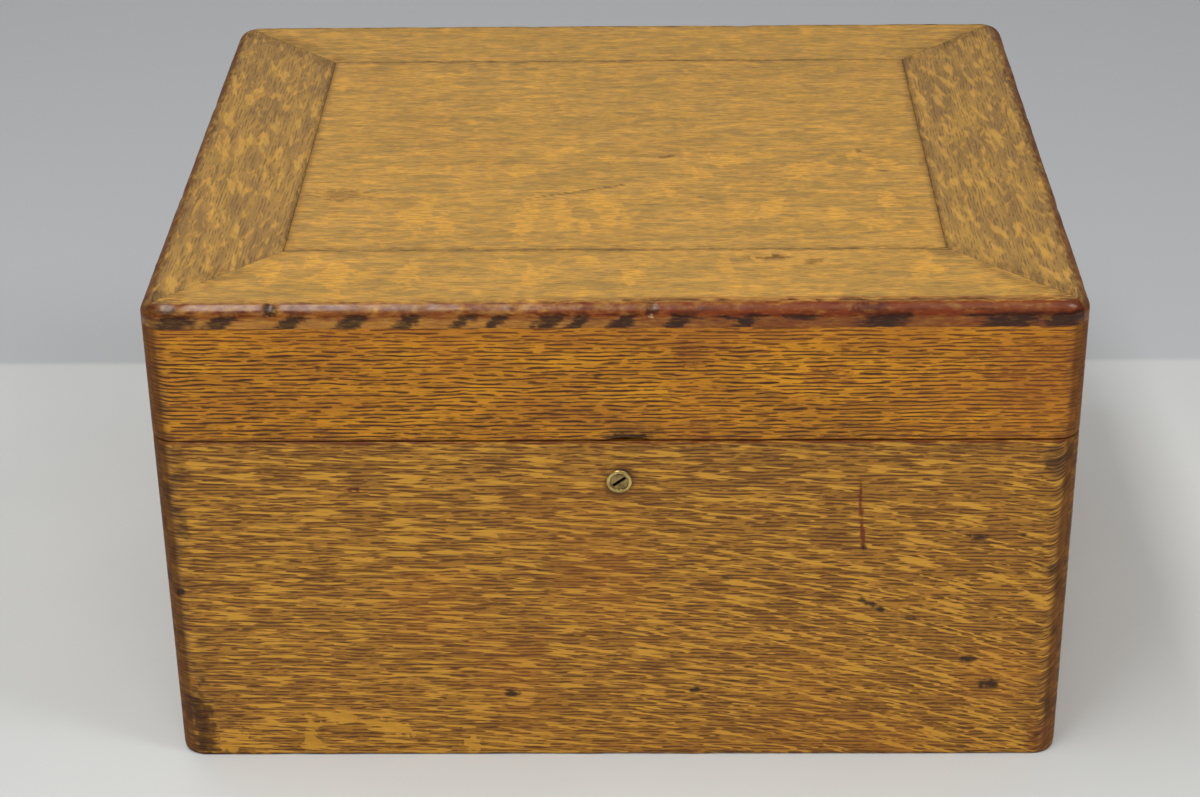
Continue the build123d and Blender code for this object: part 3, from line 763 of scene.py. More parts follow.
@dataclass(frozen=True)
class OakFinish:
    """Quarter-sawn white oak, fumed and varnished amber a century ago.

    The open pores took the dark stain and show as dashes and lines, the rays stayed pale and show as
    flecks, and the varnish gives the whole a warm, half dull gloss that is brighter on rubbed edges.
    The layers are laid in order, each over the ones before.
    """

    name: str
    ground: str
    shade: str
    layers: tuple[Streaks | Dashes, ...]
    roughness: float = 0.45
    relief: float = 0.05

    def flow(self, g: Graph, flow: Flow) -> Socket:
        """The place along, across and into the wood, for the given flow.

        Object coordinates are turned by 45 degrees round the grain, so that all four sides show it.

        Args:
            g: the graph to add to.
            flow: where the grain's run comes from.

        Returns:
            The socket with the place, in millimetres.
        """
        if flow is Flow.BOARD:
            return g.add("Attribute", attribute_name="grain", out="Vector")
        eighth, quarter = math.pi / 4, math.pi / 2
        turn = (eighth, 0.0, 0.0) if flow is Flow.ALONG_X else (0.0, eighth, quarter)
        place = g.add("TexCoord", out="Object")
        return g.add("Mapping", place, (370.0, 110.0, 230.0), turn, (1 / MM,) * 3)

    def material(self, flow: Flow) -> Material:
        """Builds the finish.

        Args:
            flow: where the grain's run comes from.

        Returns:
            The material.
        """
        g = Graph(bpy.data.materials.new(f"{self.name}_{flow.name.lower()}"))
        run = self.flow(g, flow)
        cloud = g.noise(run, 2.0, 0.55, stretch=CLOUDS)
        colour = g.blend(g.fit(cloud, 0.34, 0.66), self.shade, self.ground)
        pores = None
        for i, layer in enumerate(self.layers):
            share = layer.mask(g, run, 3.1 + 2.3 * i)
            if pores is None and isinstance(layer, Dashes):
                pores = share
            colour = g.blend(share, colour, layer.colour)
        roughness = self.roughness
        if flow is Flow.BOARD:
            colour = self.aged(g, run, colour)
            gloss = g.fit(g.zone(Tint.RED), 0.2, 0.7, 0.0, self.roughness * 0.5)
            matt = g.fit(g.zone(Tint.BROWN), 0.5, 1.0, self.roughness, self.roughness + 0.27)
            roughness = g.math("SUBTRACT", matt, gloss)
        height = g.math("MULTIPLY", g.noise(run, 1.0, stretch=FIBRES), 0.35)
        if pores is not None:
            height = g.math("SUBTRACT", height, pores)
        bump = (height, 0.5, self.relief * MM)
        return g.surface(bump, base_color=colour, roughness=roughness, ior=1.5, specular_ior_level=0.3)

    def aged(self, g: Graph, run: Socket, colour: Socket) -> Socket:
        """Lays the board's tints over the wood, each broken up by noise that follows the grain.

        Args:
            g: the graph to add to.
            run: the place along, across and into the wood.
            colour: the clean wood's colour.

        Returns:
            The aged colour.
        """
        shift = g.math("SUBTRACT", g.noise(run, 2.0, 0.6, stretch=WEAR), 0.5)
        for tint, code, most in AGE_TINTS:
            share = g.zone(tint)
            broken = g.math("MULTIPLY_ADD", shift, 1.2, share)
            within = g.math("MULTIPLY", g.fit(broken, 0.05, 0.95, 0.0, most), g.fit(share, 0.0, 0.2))
            colour = g.blend(within, colour, code)
        return colour


# Golden brown walls: close dark pore dashes, with pale torn rays leaning across the grain
CASE_OAK = OakFinish("quartered_oak_case", "#BA822A", "#9E6B20", (
    Streaks("#7A4E1C", 60, 4.0, 0.54, 0.12, 0.45),
    Dashes("#562D0A", 2.5, 1.15, 14, 0.38, 0.9, wander=0.9),
    Dashes("#613610", 1.9, 0.8, 9, 0.45, 0.78, wander=0.6),
    Streaks("#D89E34", 26, 2.45, 0.60, 0.04, 0.84, slope=-5, tear=9, rays=True, figure=0.16),
    Streaks("#C8902A", 16, 5.0, 0.86, 0.06, 0.85, tear=5, figure=0.44),
))
# A brighter orange rail, with long, nearly black pore dashes and no rays
LID_OAK = OakFinish("quartered_oak_lid", "#D8931A", "#B87616", (
    Streaks("#8A5A1A", 22, 2.0, 0.57, 0.10, 0.45),
    Dashes("#4C2404", 2.6, 1.1, 15, 0.35, 1.0, wander=0.85),
    Dashes("#5E3106", 1.9, 0.75, 9, 0.455, 0.75, wander=0.85),
))
# A yellow top that has faded, with soft golden flames and faint pores
TOP_OAK = OakFinish("quartered_oak_top", "#C39241", "#B0853A", (
    Streaks("#93753C", 24, 5.0, 0.52, 0.12, 0.68, detail=4.0),
    Streaks("#DCA03C", 18, 5.5, 0.57, 0.09, 0.4, detail=3.0),
    Streaks("#D89E3A", 14, 22, 0.66, 0.11, 0.62, figure=0.34, detail=3.0),
    Streaks("#80623A", 9, 1.5, 0.54, 0.08, 0.36),
    Dashes("#664826", 2.1, 0.75, 8, 0.45, 0.42),
), 0.48)
# The top's side members, greyer and more even than its panel
BORDER_OAK = OakFinish("quartered_oak_border", "#A8803A", "#94703A", (
    Streaks("#7A5C34", 40, 5.0, 0.52, 0.12, 0.65, detail=3.0),
    Dashes("#5E4228", 2.1, 0.85, 13, 0.44, 0.62),
    Streaks("#CC9B42", 24, 6.0, 0.60, 0.07, 0.55, slope=8, detail=2.0),
    Streaks("#CA943A", 16, 4.6, 0.63, 0.07, 0.45, slope=-12, detail=2.0),
), 0.48)
# Plain straight oak inside, paler and cleaner
PLAIN_OAK = OakFinish("plain_oak", "#B78A4E", "#A2743C", (
    Streaks("#8B6132", 90, 7.0, 0.55, 0.08, 0.4),
    Dashes("#6A431F", 2.2, 0.8, 18, 0.5, 0.6),
))
# Dull sawn oak without varnish, for the splines
RAW_OAK = OakFinish("raw_oak", "#A9814F", "#94703F", (
    Streaks("#7A5830", 20, 1.4, 0.53, 0.10, 0.6),
), 0.75)


@dataclass(frozen=True)
class BrassFinish:
    """Old brass, rolled or turned, that has dulled to brown in the hollows and stays bright where rubbed."""

    name: str
    bright: str
    dull: str
    roughness: float
    brushed: float

    def material(self) -> Material:
        """Builds the finish: cloudy tarnish, fine brushing as bump, and specks.

        Returns:
            The material.
        """
        g = Graph(bpy.data.materials.new(self.name))
        place = g.add("TexCoord", out="Object")
        cloud = g.noise(place, 4.0, 0.6, scale=260.0)
        colour = g.blend(g.fit(cloud, 0.38, 0.62, kind="SMOOTHSTEP"), self.bright, self.dull)
        specks = g.fit(g.noise(place, 2.0, scale=1900.0), 0.64, 0.72, 0.0, 0.7)
        colour = g.blend(specks, colour, "#3A2A16")
        roughness = g.fit(cloud, 0.3, 0.7, self.roughness * 0.8, self.roughness * 1.35)
        strokes = g.noise(place, 2.0, stretch=(300.0, 4200.0, 4200.0))
        bump = (strokes, self.brushed, 0.02 * MM)
        return g.surface(bump, base_color=colour, metallic=1.0, roughness=roughness)


# Warm rolled brass, evenly worn
HINGE_BRASS = BrassFinish("rolled_brass_hinge", "#C8A259", "#A88A4E", 0.34, 0.25)
# Browner brass with turning marks
SCREW_BRASS = BrassFinish("turned_brass_screw", "#C09A52", "#8A6A36", 0.32, 0.4)
# The pale polished rim that catches the light on the front; its paler colour is partly a painted highlight
RIM_BRASS = BrassFinish("turned_brass_lock_rim", "#DFC67C", "#B49A5C", 0.3, 0.1)
# The plug, duller and greyer than its rim; its darker colour is partly painted shade
PLUG_BRASS = BrassFinish("turned_brass_lock_plug", "#A88F5C", "#7E6A44", 0.38, 0.3)
# Brushed plate with brown tarnish
PLATE_BRASS = BrassFinish("rolled_brass_lock_plate", "#BD9650", "#8E6E3A", 0.34, 0.5)


@dataclass(frozen=True)
class BaizeFinish:
    """Dark green baize: a felted wool cloth, brushed so that its nap hides the weave and catches light."""

    name: str
    wool: str
    worn: str

    def material(self) -> Material:
        """Builds the finish: fibres drawn at 0.5 mm, which is coarser than real, and faded patches.

        Returns:
            The material.
        """
        g = Graph(bpy.data.materials.new(self.name))
        place = g.add("TexCoord", out="Object")
        fade = g.fit(g.noise(place, 3.0, 0.6, scale=14.0), 0.35, 0.7, 0.0, 0.6)
        fibre = g.noise(place, 3.0, 0.6, scale=2000.0)
        tuft = g.fit(fibre, 0.35, 0.65, 0.0, 0.45)
        colour = g.blend(tuft, g.blend(fade, self.wool, self.worn), "#2E5340")
        sheen = {"sheen_weight": 0.35, "sheen_roughness": 0.4, "sheen_tint": linear("#7FA88C")}
        bump = (fibre, 0.7, 0.25 * MM)
        return g.surface(bump, base_color=colour, roughness=0.95, specular_ior_level=0.2, **sheen)


# Deep green cloth without shine, that goes paler where its nap faces the light
BAIZE = BaizeFinish("felted_green_baize", "#173626", "#234A36")


# The chest's sub-assemblies


@dataclass
class Patina:
    """The tints on one board: for each of its points a share of every tint."""

    along: Array
    up: Array

    def __post_init__(self) -> None:
        """Starts clean."""
        self.shares = np.zeros((len(self.along), len(Tint)))

    def put(self, tint: Tint, *values: Array) -> None:
        """Adds a tint where it is stronger than what is there."""
        for value in values:
            self.shares[:, tint.value] = np.maximum(self.shares[:, tint.value], value)

    def lay(self, placed: tuple[Mark, ...], within: Array) -> None:
        """Adds placed marks, only where within is not 0."""
        for mark in placed:
            self.put(mark.tint, mark.cover(self.along, self.up) * within)

    def keep(self, piece: Piece, cleaned: Array | float = 0.0) -> None:
        """Stores the tints on the piece.

        Args:
            piece: the board's built piece.
            cleaned: the share of the tints that is taken off again at each point.
        """
        shares = (self.shares.T * (1.0 - cleaned)).T
        piece.keep("marks", *shares[:, :3].T)
        piece.keep("zones", *shares[:, 3:].T)


@dataclass
class Case:
    """The case's four walls, with the lock and the hinges let in.

    The groove is given by its low, high and depth, and each side's lean by how far the rays' place
    across grows with the square of the way along.
    """

    joinery: Joinery = Joinery()
    rim: float = 229.5
    groove: tuple[float, float, float] = (6.0, 15.0, 6.0)
    zone: float = 28.0
    leans: tuple[float, ...] = (3.6e-4, 1.4e-4, -2.0e-4, -3.0e-4)
    marks: tuple[Mark, ...] = (
        *marks_of(
            Tint.DIRT,
            (221.6, 162.1, 12, 3.2), (222.5, 158.6, 15, 1.8, 0.8, -4), (219.8, 72.8, 13, 4.4),
            (233.3, 53.9, 12, 7.5), (152, 116.7, 5, 3.5), (158.5, 113.2, 9, 3.8, 1, -15),
            (163.8, 110, 7, 6.5), (178, 103.4, 17, 2.4, 1, -5), (194.8, 98.2, 9, 2.6, 0.7),
            (-66.5, 47.7, 9, 5.5), (49.7, 49.7, 6, 5), (54, 44.5, 6, 2.5, 0.7, -30),
            (68.4, 133.7, 9, 2.4, 0.8), (-13, 133, 4, 2.6, 0.6), (125.5, 113.1, 4, 2.4, 0.7),
            (248.9, 163.4, 5, 4.2, 0.7), (136.1, 49.5, 8, 2, 0.8, 12), (-158, 197.6, 5, 1.8, 0.6),
            (151.8, 154, 3.2, 6, 0.8), (-270, 124, 4.5, 7.5, 1.1, -30), (-266, 18, 9, 50, 0.45),
            (-264, 62, 8, 12, 0.5), (-264, 172, 7, 26, 0.4), (-240, 50, 16, 3, 0.5),
            (264, 216, 14, 20, 0.55),
        ),
        *marks_of(
            Tint.RED,
            (-158.8, 197.3, 10, 3.4), (148.2, 190, 2.2, 20, 1.1), (149.4, 176, 2.2, 22, 1.1, 4),
            (150.8, 162, 2.6, 18, 1.2, 5), (267, 14, 16, 30, 0.5),
        ),
        *marks_of(
            Tint.BROWN,
            (-264, 22, 16, 60, 1.1), (-263, 214, 12, 30, 0.6),
        ),
        *marks_of(
            Tint.FIGURE,
            (-245, 12, 28, 24, 0.8), (-197, 14, 12, 34, 0.85), (-178, 30, 34, 11, 0.85, 4),
            (-146, 22, 40, 11, 0.85, -14), (-93, 8, 13, 15, 1.2),
        ),
    )

    def section(self, fine: float) -> Array:
        """The wall's section: an eased outer face, the rim, the inner face and the bottom's groove.

        Args:
            fine: the spacing of points up the outer face.

        Returns:
            Depths and heights round the section.
        """
        board, ease = self.joinery.board, self.joinery.ease
        low, high, deep = self.groove
        return trace(
            (0.0, 0.0, ease, fine), (0.0, self.rim, ease, 3.0), (board, self.rim, ease, 8.0),
            (board, high), (board - deep, high, 0.0, 9.0), (board - deep, low), (board, low), (board, 0.0),
        )

    def build(self) -> None:
        """Builds and dresses the walls."""
        oak = CASE_OAK.material(Flow.BOARD)
        for side in Side:
            fine, order = 1.5 if side is Side.FRONT else 3.0, side.value
            upper = Rub(self.rim, -1.0, reach=2.5, least=0.0, most=0.35, seed=31 + order)
            lower = Rub(0.0, 1.0, reach=4.0, least=0.1, most=0.7, seed=41 + order)
            name, section = f"case_{side.word}_wall", self.section(fine)
            board = Board(name, side, section, self.zone, fine, 51 + order, (upper, lower))
            piece = board.build("case", f"case_{side.word}_board", self.tools(side))
            self.age(board, piece)
            piece.dress(oak)

    def tools(self, side: Side) -> tuple[Piece, ...]:
        """What is let into a wall: the lock in the front one, the hinges in the back one.

        Args:
            side: the wall's side.

        Returns:
            The tools to cut it with.
        """
        if side is Side.FRONT:
            return lock_recesses()
        return hinge_recesses("case", self.rim, -1) if side is Side.BACK else ()

    def age(self, board: Board, piece: Piece) -> None:
        """Gives a wall its grain and its tints.

        The rays lean more towards one end, where the board was sawn off the quarter: their place across
        is raised by the square of the way from the left part, less so near the rim, and by another
        amount on each side. Round the right corner the grain turns up by the square of the way past it.
        A tint is its strength times the ramps over which it comes in, and its patches.

        Args:
            board: the wall.
            piece: its built piece.
        """
        along, depth, up = board.local(piece.places())
        under = board.under(along, depth)
        lean = self.leans[board.side.value] * np.clip(along + 100, 0.0, None) ** 2 * ramp(up, 270, 50)
        wrap = 0.07 * np.clip(along - 264, 0.0, None) ** 2
        shift = 710 * board.side.value
        piece.keep("grain", along + shift, up + under + 0.15 * lean - wrap, under + shift)
        piece.keep("rays", 0.0 * lean, 0.85 * lean, 0.0 * lean)
        rough = 0.5 + 0.5 * patchy(along, up, 7, board.seed + 3)
        mild = 0.5 + 0.5 * rough
        ends = board.half_length - np.abs(along)
        outer = ramp(depth, 3.5, 1.5)
        patina = Patina(along, up)
        patina.put(
            Tint.BROWN,
            0.9 * ramp(ends, 34, 4) * rough,
            1.3 * ramp(ends, 14, 6),
            0.5 * ramp(up, self.rim - 20, self.rim) * rough * outer,
        )
        patina.put(
            Tint.WARM,
            0.4 * ramp(patchy(along, up, 60, board.seed + 5), -0.2, 0.9),
            0.6 * ramp(ends, 12, 5) * mild,
        )
        patina.put(Tint.RED, 0.8 * ramp(up, self.rim - 2.6, self.rim - 0.6) * mild * outer)
        patina.put(
            Tint.DIRT,
            0.6 * ramp(ends, 20, 8) * ramp(rough, 0.45, 0.9),
            # painted shade along the foot, where the wall meets the floor
            0.6 * ramp(up, 2.2, 0.5),
            0.3 * board.mitre_line(along, depth, 1.2),
        )
        patina.put(Tint.FIGURE, 0.15 * (1.0 - ramp(along, 0, 120) * ramp(up, 120, 180)))
        if board.side is Side.FRONT:
            patina.lay(self.marks, ramp(depth, 14, 10))
            low, high = box("lock_barrel")
            away = np.hypot(along - (low[0] + high[0]) / 2, up - (low[2] + high[2]) / 2)
            patina.put(Tint.BROWN, 0.8 * ramp(away, 22, 8) * rough)
            patina.put(Tint.DIRT, 0.75 * ramp(away, 10.5, 8.2) * mild)
        patina.keep(piece, cleaned=0.8 * ramp(depth, 15, 18))


def hinge_recesses(half: str, edge: float, into: int) -> tuple[Piece, ...]:
    """The recesses for one half of both hinges, as wide as the leaves' own boxes.

    Args:
        half: the half, as the leaves' nodes spell it.
        edge: the height of the edge that the leaves are let into.
        into: 1 where the wood is above the edge, -1 where it is below.

    Returns:
        A tool for each hinge.
    """
    joinery = Joinery()
    back, past, over = joinery.depth / 2, 5.0, 10.5
    low_z, high_z = sorted((edge + into * joinery.hinge_leaf_thick, edge - into * over))
    tools = []
    for name in ("left", "right"):
        low, high = box(f"hinge_{name}_{half}_leaf")
        front = (low[0], back - joinery.hinge_leaf_deep, low_z)
        tools.append(box_tool(front, (high[0], back + past, high_z)))
    return tuple(tools)


def lock_recesses() -> tuple[Piece, ...]:
    """The lock's recesses in the front wall, worked out from the boxes of its parts.

    Returns:
        Tools for its selvedge, back plate, case and barrel.
    """
    (left, front, foot), (right, back, top) = box("lock_plate")
    case_low, case_high = box("lock_case")
    low, high = box("lock_barrel")
    plate, clear, bore = 2.0, 5.0, 7.0
    inner, above = back + plate, top + clear
    start = np.array([(low[0] + high[0]) / 2, low[1] - clear, (low[2] + high[2]) / 2])
    deep = case_low[1] + clear - start[1]
    return (
        box_tool((left, front, top - plate), (right, inner, above)),
        box_tool((left, back - plate, foot), (right, inner, above)),
        box_tool(case_low, (case_high[0], inner, above)),
        Piece("tool", *sweep(rings([bore, bore], [0.0, deep], start, 48))),
    )


@dataclass
class Lid:
    """The lid's four rails and its framed top.

    The groove is given by its low, high and depth, the zones by how long the rails and the members take
    to turn a corner, the notch by its place, width, height and depth, a dent by its place, width and
    depth, and a dark patch of the front edge by its place and width.
    """

    joinery: Joinery = Joinery()
    low: float = 230.5
    frame_low: float = 306.0
    top: float = 320.0
    frame_w: float = 78.0
    top_round: float = 8.0
    chamfer: float = 0.25
    groove: tuple[float, float, float] = (311.0, 315.0, 6.0)
    panel_gap: float = 0.12
    panel_t: float = 12.0
    panel_step: float = 1.8
    zones: tuple[float, float] = (28.0, 92.0)
    notch: tuple[float, float, float, float] = (8.0, 28.0, 1.7, 4.0)
    front_dents: tuple[tuple[float, float, float], ...] = (
        (-201.9, 3.5, 0.7), (-262, 5, 0.5), (22.6, 3, 0.5), (150, 9, 0.4),
    )
    other_dents: tuple[tuple[float, float, float], ...] = ((-88, 6, 0.5), (63, 4, 0.4))
    edge_patches: tuple[tuple[float, float], ...] = (
        (-257, 22), (-230, 14), (-189, 12), (-153, 14), (-120, 12), (-88, 10), (-68, 9),
        (-37, 14), (-20, 10), (7, 12), (39, 13), (79, 9), (159, 27), (234, 32), (266, 26),
    )
    nick: tuple[Mark, ...] = marks_of(Tint.PALE, (22.6, 1.0, 3.6, 1.0, 0.7, 20))
    rail_marks: tuple[Mark, ...] = (
        *marks_of(
            Tint.DIRT,
            (-174.9, 280.8, 2.2, 5, 0.8), (-10, 274.1, 4.5, 3.2, 0.9), (8, 233, 27, 4.2, 0.95),
        ),
        *marks_of(
            Tint.RED,
            (44.8, 288, 22, 20, 0.35), (127.6, 274.2, 30, 16, 0.4), (245, 280, 70, 30, 0.25),
        ),
        *marks_of(
            Tint.BROWN,
            (14, 236, 40, 8, 0.6),
        ),
    )
    top_marks: tuple[Mark, ...] = (
        *marks_of(
            Tint.DIRT,
            (-22, -70, 68, 1.8, 0.75, 20), (31.9, -15.9, 9, 3.2, 0.7, 10), (40, -12, 14, 2.2, 0.5, 12),
            (39.1, 38.6, 4, 3, 0.4), (53.6, -80.5, 6, 2.6, 0.6), (93.7, -59, 5, 2.2, 0.6),
            (159, -6, 5, 5, 0.6), (170.8, -39.1, 14, 3.2, 0.5),
        ),
        *marks_of(
            Tint.BROWN,
            (-175, -75, 40, 18, 0.45),
        ),
        *marks_of(
            Tint.FIGURE,
            (-131.5, -9, 20, 5), (-144, -33, 15, 9), (-158, -54, 18, 8, 0.8), (-139, -75, 22, 7, 0.9),
            (-122, -104, 22, 46, 0.8, -12), (-107, -118, 13, 42, 0.8, 12), (-56, -110, 17, 58, 1, -4),
            (-33, -102, 14, 52, 1, 5), (-19, -124, 7, 28, 0.8, 6), (-8, -96, 15, 46, 1, 14),
            (8, -120, 9, 36, 0.7, 6), (36, -78, 9, 34, 0.7, 16), (-64, -38, 20, 24, 0.6, -10),
            (-36, -10, 26, 18, 0.7, 20), (-3, -16, 22, 13, 0.7), (54, -45, 12, 26, 0.7, 20),
            (71, -20, 26, 20, 0.7, -30), (94, -12, 16, 12, 0.6), (124, -37, 30, 30, 0.75, -35),
            (159, -18, 28, 14, 0.8, -20), (174, -27, 16, 14, 0.8), (98, -96, 18, 26, 0.8, -20),
            (82, -111, 14, 30, 0.7), (140, -106, 15, 12, 0.7), (172, -85, 13, 22, 0.8),
            (166, -122, 22, 20, 0.8),
        ),
    )
    border_marks: tuple[Mark, ...] = (
        *marks_of(
            Tint.FIGURE,
            (-207, 54, 13, 38, 0.9), (-181, 61, 11, 22, 0.9), (-169, 44, 21, 44), (-122, 43, 13, 34),
            (-67, 55, 11, 28, 0.8), (-49, 38, 15, 30, 0.9), (-16, 62, 13, 16, 0.8),
            (10, 44, 12, 34, 0.6), (70, 45, 10, 50, 0.8, 12), (88, 63, 13, 14, 0.6),
            (185, 48, 24, 16, 0.8), (224, 40, 18, 14, 0.6),
        ),
        *marks_of(
            Tint.BROWN,
            (95, 66, 26, 6, 0.9), (120, 60, 12, 8, 0.6),
        ),
    )

    def rail_section(self, fine: float) -> Array:
        """A rail's section: eased at its lower edges, square above, with close rows at the notch's depth.

        Args:
            fine: the spacing of points up the outer face.

        Returns:
            Depths and heights round the section.
        """
        board, deep, close = self.joinery.board, self.notch[3], 0.05
        return trace(
            (0.0, self.low, self.joinery.ease, fine), (0.0, self.frame_low, 0.0, 8.0),
            (board, self.frame_low, 0.0, 8.0), (board, self.low, 0.4, 5.0),
            (deep + close, self.low), (deep - close, self.low, 0.0, 0.8),
        )

    def member_section(self) -> Array:
        """A top member's section: rounded top outer edge, chamfered inner edge and the panel's groove.

        Returns:
            Depths and heights round the section.
        """
        low, high, deep = self.groove
        wide, cut = self.frame_w, self.chamfer
        return trace(
            (0.0, self.frame_low, 0.0, 1.5), (0.0, self.top, self.top_round, 3.0),
            (wide - cut, self.top), (wide, self.top - cut), (wide, high), (wide - deep, high),
            (wide - deep, low), (wide, low), (wide, self.frame_low, 0.0, 10.0), arc=10,
        )

    def build(self) -> None:
        """Builds and dresses the rails, the top's members and the panel."""
        rail_oak, top_oak, border_oak = (f.material(Flow.BOARD) for f in (LID_OAK, TOP_OAK, BORDER_OAK))
        for side in Side:
            front, order = side is Side.FRONT, side.value
            fine = 1.5 if front else 3.0
            rub = Rub(self.low, 1.0, reach=2.5, least=0.0, most=0.3, seed=61 + order)
            rail = Board(
                f"lid_{side.word}_wall", side, self.rail_section(fine), self.zones[0], fine, 71 + order,
                (rub,), notch=self.notch if front else (),
            )
            piece = rail.build("lid", f"lid_{side.word}_rail", self.tools(side))
            self.age_rail(rail, piece)
            piece.dress(rail_oak)

            rub = Rub(self.top, -1.0, reach=16.0, least=0.0, most=0.9, seed=81 + order)
            member = Board(
                f"top_{side.word}_member", side, self.member_section(), self.zones[1], fine, 91 + order,
                (rub,), uneven=(0.08, 12.0), dents=self.front_dents if front else self.other_dents,
            )
            piece = member.build("lid", f"top_frame_{side.word}")
            self.age_member(member, piece)
            piece.dress(top_oak if side.long else border_oak)
        self.build_panel(top_oak)

    def tools(self, side: Side) -> tuple[Piece, ...]:
        """What is let into a rail: the link plate in the front one, the hinges in the back one.

        Args:
            side: the rail's side.

        Returns:
            The tools to cut it with.
        """
        if side is Side.FRONT:
            low, high = box("lock_link_plate")
            return (box_tool(low - (0.0, 0.0, 5.0), high + (0.0, 2.0, 0.0)),)
        return hinge_recesses("lid", self.low, 1) if side is Side.BACK else ()

    def age_rail(self, board: Board, piece: Piece) -> None:
        """Gives a rail its grain and its tints, each its strength times the ramps that it comes in over.

        Args:
            board: the rail.
            piece: its built piece.
        """
        along, depth, up = board.local(piece.places())
        under = board.under(along, depth)
        shift = 530 * board.side.value + 200
        piece.keep("grain", along + shift, up - under, under + shift)
        rough = 0.5 + 0.5 * patchy(along, up, 7, board.seed + 3)
        mild = 0.4 + 0.6 * rough
        ends = board.half_length - np.abs(along)
        outer = ramp(depth, 3.5, 1.5)
        patina = Patina(along, up)
        patina.put(
            Tint.BROWN,
            0.75 * ramp(ends, 18, 3) * mild,
            1.3 * ramp(ends, 14, 6),
            0.4 * ramp(up, self.low + 40, self.low + 5) * rough * outer,
        )
        patina.put(
            Tint.WARM,
            0.5 * ramp(patchy(along, up, 50, board.seed + 5), -0.2, 0.9),
            0.45 * ramp(up, self.frame_low - 25, self.frame_low),
            0.6 * ramp(ends, 12, 5) * (0.5 + 0.5 * rough),
        )
        patina.put(Tint.RED, 0.6 * ramp(up, self.low + 3, self.low + 0.5) * mild * outer)
        patina.put(
            Tint.DIRT,
            0.4 * ramp(ends, 18, 7) * ramp(rough, 0.45, 0.9),
            0.3 * board.mitre_line(along, depth, 1.2),
        )
        if board.side is Side.FRONT:
            patina.put(Tint.WARM, 0.5 * ramp(along, 80, 260) * mild)
            patina.lay(self.rail_marks, ramp(depth, 4, 2))
        patina.keep(piece, cleaned=0.8 * ramp(depth, 15, 18))

    def age_member(self, board: Board, piece: Piece) -> None:
        """Gives a top member its grain and its tints: a rubbed red edge with dark patches, dark joints.

        The front's edge is redder and darker to the right. Its arc is the rounded part and its band the
        straight part under that. The sides differ from front and back in how their joints look.

        Args:
            board: the member.
            piece: its built piece.
        """
        along, depth, up = board.local(piece.places())
        under = board.under(along, depth)
        shift = 470 * board.side.value + 300
        piece.keep("grain", along + shift, under - up, up + shift)
        front = board.side is Side.FRONT
        rough = 0.5 + 0.5 * patchy(along, up + under, 8, board.seed + 3)
        streak = 0.5 + 0.5 * patchy(along * 0.2, up * 1.6 + under, 2, board.seed + 4)
        right = ramp(along, -100, 100) if front else np.full_like(along, 0.6)
        arc = ramp(under, 8.6, 5.5) * ramp(up, 309, 314.5)
        band = ramp(under, 2, 0.6)
        patina = Patina(along, under)
        patina.put(
            Tint.RED,
            (1.0 if front else 0.4) * arc * (0.54 + 0.3 * right + 0.25 * streak),
            band * (0.1 + 0.65 * right) * (0.6 + 0.4 * rough),
        )
        patina.put(Tint.WARM, band * (0.8 + 0.2 * right))
        patina.put(Tint.BROWN, band * (0.1 + 0.5 * right) + (0.35 * (1.0 - right) if front else 0.7) * arc)
        line = ramp(np.abs(under - 8 + 0.7 * patchy(along, along, 5, 23)), 1.1, 0.3) * ramp(up, 316, 319)
        patina.put(
            Tint.DIRT,
            0.5 * arc * ramp(streak, 0.55, 0.95),
            line * (0.15 + 0.5 * right * rough + 0.3 * ramp(rough, 0.6, 1.0)),
        )
        if front:
            self.mark_front(patina, up, arc, rough, right)
        else:
            patina.put(Tint.DIRT, 0.8 * band * ramp(patchy(along, up, 11, board.seed), 0.25, 0.6))
        ends = board.half_length - np.abs(along)
        inner = self.frame_w - depth
        corner = ramp(ends, 26, 8) * ramp(depth, 24, 6)
        patina.put(
            Tint.DIRT,
            0.55 * corner * (0.5 + 0.5 * rough),
            0.35 * board.mitre_line(along, depth, 0.8),
            (0.5 if board.side.long else 0.12) * ramp(inner, 0.9, 0.1),
        )
        patina.put(
            Tint.BROWN,
            0.6 * ramp(ends - depth, 26, 4) * rough,
            0.4 * board.mitre_line(along, depth, 7) * rough,
            0.5 * ramp(inner, 7, 0) * rough,
            (0.0 if board.side.long else 0.7) * ramp(inner, 3.5, 1),
        )
        patina.keep(piece)

    def mark_front(self, patina: Patina, up: Array, arc: Array, rough: Array, right: Array) -> None:
        """Adds what the front edge alone has: slanting dark patches, torn dirt, a rubbed line and dents.

        Args:
            patina: the member's tints, whose places up are the depths under the rounded face.
            up: the height of each point.
            arc: how far each point is on the rounded part.
            rough: the patches of the member.
            right: how far each point is to the right.
        """
        along, under = patina.along, patina.up
        face = ramp(under, 4, 1.5) * ramp(up, 317, 313)
        lean = along - (up - 311) * 0.9 + 3 * patchy(along, up, 2.5, 17)
        for at, width in self.edge_patches:
            patina.put(Tint.DIRT, 0.95 * face * ramp(np.abs(lean - at), width * 0.72, width * 0.28))
        torn = ramp(patchy(along * 0.25, up, 1.6, 19) + 0.6 * patchy(along, up, 24, 20), -0.15, 0.5)
        patina.put(Tint.DIRT, torn * right * ramp(np.abs(up - 312.4), 2.6, 0.8) * ramp(under, 4, 1))
        rubbed = (0.3 + 0.5 * rough) * (0.3 + 0.7 * right)
        patina.put(Tint.RED, rubbed * ramp(np.abs(under - 9.5), 4.5, 1))
        patina.lay(self.nick, ramp(np.abs(up - 313.0), 1.2, 0.5))
        for at, width, deep in self.front_dents:
            away = np.hypot((along - at) / (1.3 * width), (up - 316.5) / 3.4)
            away = away + 0.4 * patchy(along, up, 1.5, 29)
            patina.put(Tint.DIRT, ramp(away, 1.3, 0.5) * arc * min(1.0, 1.4 * deep))
        patina.lay(self.border_marks, ramp(up, 318, 319.5))

